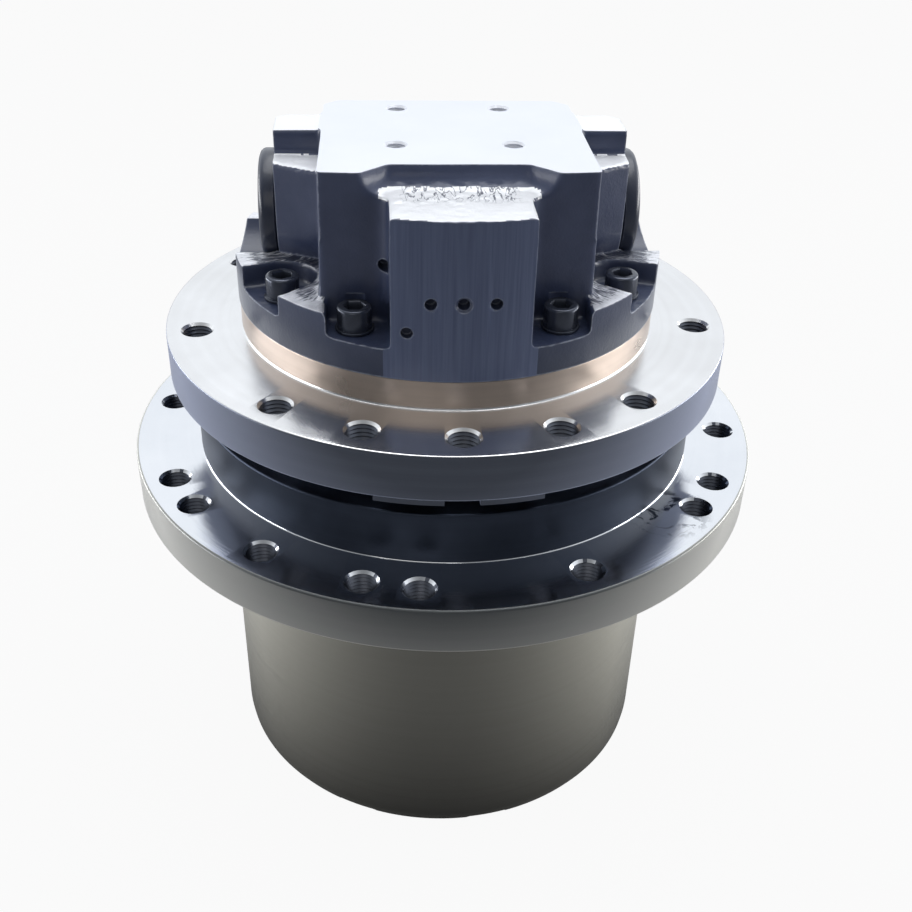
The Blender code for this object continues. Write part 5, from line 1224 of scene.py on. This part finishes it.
def pad_shape(side):
    """The raised pad on top of the valve housing."""
    inner, outer = side * HOUSING_INSIDE, side * (HOUSING_FACE + ALLOWANCE)
    outline = [
        (inner, -PAD_HALF),
        (outer, -PAD_HALF),
        (outer, PAD_HALF - PAD_CHAMFER - ALLOWANCE),
        (outer - side * (PAD_CHAMFER + ALLOWANCE), PAD_HALF),
        (inner, PAD_HALF),
    ]
    return prism(outline, HOUSING_LEDGE - 0.005, HOUSING_PAD)


def cover_blank():
    """The cover before machining: rim with its pockets, and the blocks that stand on it."""
    base, outer = COVER_BOTTOM - ALLOWANCE, COVER_RADIUS + 0.004
    disc = [(0, base), (outer, base), (outer, COVER_RIM), (0, COVER_RIM)]
    blank = shape_object("blank", turned(disc, closed=False))
    for pocket in pocket_shapes():
        cut(blank, [pocket])
    main = shape_object("main", body_shape())
    cut(main, [notch_shape()])
    rear_low = (-PORT_BLOCK_HALF, 0.020, COVER_FOOT)
    rear_high = (PORT_BLOCK_HALF, PORT_BLOCK_FACE + ALLOWANCE, PORT_BLOCK_TOP)
    shapes = [front_block_shape(), block(rear_low, rear_high)]
    for side in (-1, 1):
        shapes += [housing_shape(side), pad_shape(side)]
    whole = bmesh.new()
    for part in (blank, main, together("rest", shapes)):
        whole.from_mesh(part.data)
        bpy.data.objects.remove(part)
    return shape_object("cover_casting", whole)


def roughen(piece):
    """Small knobs and dents on the cast faces that look up, and a slight wave all over."""
    shape = bmesh.new()
    shape.from_mesh(piece.data)
    shape.normal_update()
    moves = []
    for point in shape.verts:
        place = point.co
        wave = noise.noise(place * WAVE_SCALE) * WAVE_HEIGHT
        if point.normal.z > 0.75 and place.z < FRONT_BLOCK_TOP + 0.003:
            lumps = noise.fractal(place * LUMP_SCALE, 1.0, 2.0, 3)
            near_cove = place.z > FRONT_BLOCK_TOP - 0.003 and place.y > -0.083 and abs(place.x) < 0.028
            wave += lumps * (COVE_LUMP_HEIGHT if near_cove else LUMP_HEIGHT)
        moves.append(point.normal * wave)
    for point, move in zip(shape.verts, moves):
        point.co += move
    shape.to_mesh(piece.data)
    shape.free()


def flared_bore(radius, mouth, straight, flared, length):
    """Profile of a straight bore that opens into a wider mouth, from its bottom up."""
    return [(0, 0), (radius, 0), (radius, straight), (mouth, flared), (mouth, length), (0, length)]


def cover_holes():
    """Holes drilled and tapped in the cover: top, oil holes, ports, bolts and the tip bearing."""
    holes = []
    for x, y in TOP_HOLES:
        mouth = thread_profile(*TOP_THREAD, COVER_TOP, COVER_TOP - TOP_HOLE_DEPTH)
        holes.append(placed(turned(mouth, HOLE_ROUND, closed=False), Matrix.Translation((x, y, 0))))
    oil_hole = flared_bore(0.0026, 0.0036, 0.0058, 0.0066, 0.012)
    for x, height in OIL_HOLES:
        start = (x, -COVER_RADIUS + OIL_HOLE_DEPTH, FLANGE_TOP + height)
        holes.append(placed(turned(oil_hole, HOLE_ROUND, closed=False), along(start, (0, -1, 0))))
    start, end = (SIDE_HOLE_X, -0.0765, SIDE_HOLE_Z), (SIDE_HOLE_X, -0.0640, SIDE_HOLE_Z)
    holes.append(rod(SIDE_HOLE_RADIUS, start, end, HOLE_ROUND))
    for radius, offset, height in PORTS:
        port = flared_bore(radius, radius + 0.0015, 0.0165, PORT_DEPTH, 0.022)
        for side in (-1, 1):
            start = (side * offset, PORT_BLOCK_FACE - PORT_DEPTH, FLANGE_TOP + height)
            holes.append(placed(turned(port, SCREW_ROUND, closed=False), along(start, (0, 1, 0))))
    low, high = COVER_BOTTOM - OVERCUT, COVER_FLOOR + SPOT_HEIGHT
    spot = [(0, low), (BOLT_HOLE, low), (BOLT_HOLE, COVER_FLOOR), (SPOT_RADIUS, COVER_FLOOR)]
    spot += [(SPOT_RADIUS, high), (0, high)]
    for angle in BOLT_ANGLES:
        place = Matrix.Translation((*polar(BOLT_CIRCLE, angle), 0))
        holes.append(placed(turned(spot, SCREW_ROUND, closed=False), place))
    holes.append(rod(TIP_BEARING_BORE, (0, 0, low), (0, 0, COVER_BOTTOM + TIP_BEARING_DEPTH)))
    return holes


def valve_bore():
    """The valve's bore right through the cover, with a seat for a cap at each end."""
    half = [(SPOOL_BORE, SPRING_BORE_START), (SPRING_BORE, SPRING_BORE_START)]
    half += [(SPRING_BORE, HOUSING_FACE), (CAP_SEAT, HOUSING_FACE), (CAP_SEAT, VALVE_BORE_END)]
    other_half = [(radius, -x) for radius, x in reversed(half)]
    profile = [(0, -VALVE_BORE_END)] + other_half + half + [(0, VALVE_BORE_END)]
    return placed(turned(profile, BORE_ROUND, closed=False), along((0, VALVE_Y, VALVE_Z), (1, 0, 0)))


def cover_finish(centre, normal):
    """Which finish a face of the cover gets; small margins take in the softened edges."""
    radius, aside = math.hypot(centre.x, centre.y), abs(centre.x)
    if centre.z > COVER_TOP - 0.0001 and normal.z > 0.9:
        return MILLED_TOP
    if radius > COVER_RADIUS - 0.0004 and aside < FRONT_BLOCK_HALF + 0.001 and centre.y < 0:
        return MILLED_FRONT if abs(normal.z) < 0.5 else NAVY
    if COVER_TOP - TOP_HOLE_DEPTH - 0.0002 < centre.z < COVER_TOP - 0.00005:
        if 0.018 < aside < 0.032 and -0.041 < centre.y < 0.027:
            return BRIGHT_HOLE
    # Faces that look up on the front block's top and on the housing get a painted highlight.
    if centre.y < NOTCH_BACK and abs(centre.z - FRONT_BLOCK_TOP) < 0.0014 and normal.z > 0.4:
        return HIGHLIT_LEDGES if aside < FRONT_BLOCK_HALF + 0.0040 else NAVY
    if normal.z > 0.78 and centre.z > HOUSING_LEDGE - 0.003 and centre.y > NOTCH_BACK:
        return HIGHLIT_LEDGES
    # Upward faces of the lobes get painted highlights.
    if normal.z > 0.70 and abs(centre.z - COVER_RIM) < 0.0025:
        return HIGHLIT_LOBES
    return NAVY


def make_cover():
    """The cover casting: soft cast skin first, then the faces and holes that are machined."""
    piece = cover_blank()
    skin = piece.modifiers.new("Skin", "REMESH")
    skin.mode = "VOXEL"
    skin.voxel_size = SKIN_CELL
    smooth = piece.modifiers.new("Smooth", "SMOOTH")
    smooth.factor = 0.5
    smooth.iterations = 5
    plain_mesh(piece)
    roughen(piece)
    far, high = 0.120, COVER_TOP + 0.020
    past_rim, below_rim = 0.125, COVER_BOTTOM - 0.010
    corners = [(COVER_RADIUS, below_rim), (past_rim, below_rim), (past_rim, high), (COVER_RADIUS, high)]
    outside = turned(corners)
    top = block((-far, -far, COVER_TOP), (far, far, high))
    bottom = block((-far, -far, COVER_BOTTOM - 0.020), (far, far, COVER_BOTTOM))
    faces = []
    for side in (-1, 1):
        low_x, high_x = sorted((side * HOUSING_FACE, side * far))
        faces.append(block((low_x, -0.035, COVER_RIM + 0.0012), (high_x, 0.040, high)))
    faces.append(block((-0.040, PORT_BLOCK_FACE, COVER_FLOOR + 0.0005), (0.040, far, high)))
    for tools in ([top], [bottom], faces, cover_holes(), [valve_bore()], [outside]):
        cut(piece, tools)
    finishes = [NAVY, HIGHLIT_LOBES, HIGHLIT_LEDGES, MILLED_TOP, MILLED_FRONT, BRIGHT_HOLE]
    return dressed(piece, finishes, "spindle_side", ["motor_cover"], cover_finish)


def hexagon(width, count):
    """A hexagon with as many points as the circle that it joins."""
    points = []
    for index in range(count):
        angle = 2 * math.pi * index / count
        reach = width / 2 / math.cos((angle % (math.pi / 3)) - math.pi / 6)
        points.append((reach * math.cos(angle), reach * math.sin(angle)))
    return points


def socket_screw(steps, top, width, depth, count=SCREW_ROUND):
    """A screw turned from (radius, height) steps, with a hexagon socket in its top."""
    loops = [[(x, y, z) for x, y in circle(radius, count)] for radius, z in steps]
    mouth = hexagon(width, count)
    loops.append([(x * 1.10, y * 1.10, top) for x, y in mouth])
    loops.append([(x, y, top - 0.0006) for x, y in mouth])
    loops.append([(x, y, top - depth) for x, y in mouth])
    return loft(loops)


def make_cover_bolts():
    """Eight socket screws in a ring, with a place left out at each quarter."""
    seat = COVER_FLOOR + 0.0003
    top = seat + BOLT_HEAD_HEIGHT
    steps = [
        (BOLT_SHANK, SPINDLE_TOP - 0.0180),
        (BOLT_SHANK, seat),
        (0.0084, seat),
        (BOLT_COLLAR, seat + 0.0002),
        (BOLT_COLLAR, seat + 0.0009),
        (0.0084, seat + 0.0011),
        (BOLT_HEAD, seat + 0.0012),
        (BOLT_HEAD, top - 0.0012),
        (0.0074, top - 0.0005),
        (0.0068, top - 0.0001),
        (0.0062, top),
    ]
    shape = socket_screw(steps, top, BOLT_SOCKET, BOLT_SOCKET_DEPTH)
    screw = shape_object("cover_bolts", shape)
    ring_of(screw, 12, BOLT_CIRCLE, 0, leave_out=3, finish=BLACK_BOLT)
    names = [f"cover_bolt_{number}" for number in range(1, 9)]
    return dressed(screw, [BLACK_BOLT], "spindle_side", names)


def make_valve_caps():
    """The two screwed caps of the valve bore, each with a hexagon socket."""
    steps = [
        (CAP_NECK, SPRING_BORE_START + 0.0003),
        (CAP_NECK, CAP_BACK),
        (CAP_RADIUS - 0.0010, CAP_BACK),
        (CAP_RADIUS, 0.0823),
        (CAP_RADIUS, CAP_FACE - 0.0030),
        (CAP_RADIUS - 0.0004, CAP_FACE - 0.0018),
        (CAP_RADIUS - 0.0014, CAP_FACE - 0.0007),
        (CAP_RADIUS - 0.0030, CAP_FACE - 0.0001),
        (CAP_RADIUS - 0.0050, CAP_FACE),
    ]
    for side, name in ((-1, "left"), (1, "right")):
        shape = socket_screw(steps, CAP_FACE, CAP_SOCKET, CAP_SOCKET_DEPTH, CAP_ROUND)
        placed(shape, along((0, VALVE_Y, VALVE_Z), (side, 0, 0)))
        cap = shape_object(f"cap_{name}", shape)
        dressed(cap, [CAP_PAINT], "spindle_side", [f"valve_cap_{name}"])


def make_drum_foot():
    """Dished end cover with its two plugs, and the split ring that holds it."""
    profile = eased(
        [
            (0, 0.0275, 0),
            (0.0160, 0.0275, 0.0008),
            (0.0160, LID_TOP, 0.0008),
            (LID_RADIUS, LID_TOP, 0.0008),
            (LID_RADIUS, LID_LOW, 0.0008),
            (0.0850, LID_LOW, 0.0006),
            (0.0830, 0.0103, 0.0006),
            (0, 0.0103, 0),
        ]
    )
    lid = shape_object("drum_lid", turned(profile, closed=False))
    cut(lid, [rod(PLUG_HOLE, (0, y, 0.005), (0, y, 0.023)) for y in (-PLUG_Y, PLUG_Y)])
    dressed(lid, [OLIVE], "hub_side", ["end_cover"])
    steps = [
        (0.0090, 0.0200),
        (0.0090, 0.0100),
        (0.0105, 0.0100),
        (0.0110, 0.0095),
        (0.0110, 0.0072),
        (0.0104, 0.0065),
    ]
    steel = FINISHES["gear_steel"]
    mouth = hexagon(0.0100, SCREW_ROUND)
    rows = [(circle(radius, SCREW_ROUND), z) for radius, z in steps] + [(mouth, 0.0065), (mouth, 0.0115)]
    for name, y in (("fill", PLUG_Y), ("drain", -PLUG_Y)):
        loops = [[(px, py + y, z) for px, py in row] for row, z in rows]
        plug = shape_object(f"plug_{name}", loft(loops))
        dressed(plug, [steel], "hub_side", [f"{name}_plug"])
    first, last = 90 + RING_HALF_GAP, 450 - RING_HALF_GAP
    outline = arc(RING_OUTER, first, last, 97) + arc(RING_INNER, last, first, 97)
    ring = shape_object("split_ring", prism(outline, 0.0050, 0.0080))
    dressed(ring, [steel], "hub_side", ["retaining_ring"])


def finish_inner_pieces():
    """Gives each CAD piece that stays the finish of its slot in the record."""
    slots = {row["node"]: row["material_slot"] for row in frame["record"]["subparts"]}
    for name, piece in frame["nodes"].items():
        piece.data.materials.clear()
        piece.data.materials.append(FINISHES[slots[name]])


# Floor, light and camera


def mix_shaders(tree, share, first, second, output):
    """Mixes two shaders by a share, and gives the result out."""
    both = tree.nodes.new("ShaderNodeMixShader")
    for socket, value in zip(both.inputs, (share, first, second)):
        tree.links.new(value, socket)
    tree.links.new(both.outputs[0], tree.nodes[output].inputs[0])


def make_floor():
    """A flat grey floor that the camera sees as white, with a faint shadow on it."""
    shape = bmesh.new()
    corners = ((-5.0, -4.0), (5.0, -4.0), (5.0, 6.0), (-5.0, 6.0))
    shape.faces.new([shape.verts.new((x, y, 0)) for x, y in corners])
    floor = shape_object("floor", shape)
    made, tree, shader = new_finish("studio_floor", 0.9)
    shader.inputs["Base Color"].default_value = (0.30, 0.30, 0.31, 1)
    glow = tree.nodes.new("ShaderNodeEmission")
    glow.inputs["Strength"].default_value = 1.0
    path = tree.nodes.new("ShaderNodeLightPath")
    seen = maths_in(tree, "MULTIPLY", path.outputs["Is Camera Ray"], FLOOR_GLOW)
    mix_shaders(tree, seen, shader.outputs[0], glow.outputs[0], "Material Output")
    floor.data.materials.append(made)


def make_world():
    """White surroundings behind the drive, dimmer towards the camera's side; the camera sees white."""
    world = bpy.data.worlds.new("studio")
    bpy.context.scene.world = world
    world.use_nodes = True
    tree = world.node_tree
    around = tree.nodes.new("ShaderNodeTexCoord").outputs["Generated"]
    towards = vector_in(tree, "DOT_PRODUCT", around, WHITE_SIDE)
    path = tree.nodes.new("ShaderNodeLightPath")
    light = tree.nodes["Background"]
    light.inputs["Color"].default_value = (0.92, 0.96, 1.0, 1)
    matt = spread_in(tree, towards, *MATT_LIGHT)
    mirrored_light = spread_in(tree, towards, *MIRRORED_LIGHT)
    rays = [path.outputs[kind] for kind in ("Is Glossy Ray", "Is Transmission Ray")]
    shiny = maths_in(tree, "MAXIMUM", *rays)
    strength = spread_in(tree, shiny, 0.0, 1.0, matt, mirrored_light)
    tree.links.new(strength, light.inputs["Strength"])
    white = tree.nodes.new("ShaderNodeBackground")
    white.inputs["Color"].default_value = (1, 1, 1, 1)
    white.inputs["Strength"].default_value = 1.0
    mix_shaders(tree, path.outputs["Is Camera Ray"], light.outputs[0], white.outputs[0], "World Output")


def area_light(name, place, aim, width, height, power, colour):
    """A rectangular lamp that is turned to a height on the drive's axis."""
    lamp = bpy.data.lights.new(name, "AREA")
    lamp.shape = "RECTANGLE"
    lamp.size = width
    lamp.size_y = height
    lamp.energy = power
    lamp.color = colour
    made = linked(name, lamp)
    made.location = place
    made.rotation_euler = (Vector((0, 0, aim)) - Vector(place)).to_track_quat("-Z", "Y").to_euler()


def make_camera():
    """The photograph's own viewpoint, solved from the circles of the flanges."""
    camera = bpy.data.cameras.new("camera")
    camera.sensor_width = 36.0
    camera.lens = CAMERA_LENS
    camera.clip_start = 0.01
    forward = Vector(CAMERA_FORWARD).normalized()
    right = forward.cross(Vector((0, 0, 1))).normalized()
    up = right.cross(forward)
    level = right * math.cos(CAMERA_ROLL) + up * math.sin(CAMERA_ROLL)
    upright = up * math.cos(CAMERA_ROLL) - right * math.sin(CAMERA_ROLL)
    made = linked("camera", camera)
    turn = Matrix((level, upright, -forward)).transposed().to_4x4()
    made.matrix_world = Matrix.Translation(CAMERA_PLACE) @ turn
    bpy.context.scene.camera = made


finish_inner_pieces()
make_spindle()
make_hub()
make_cover()
make_cover_bolts()
make_valve_caps()
make_drum_foot()
make_floor()
make_world()
for name, values in LAMPS.items():
    area_light(name, *values)
make_camera()
bpy.context.scene.view_settings.view_transform = "Standard"
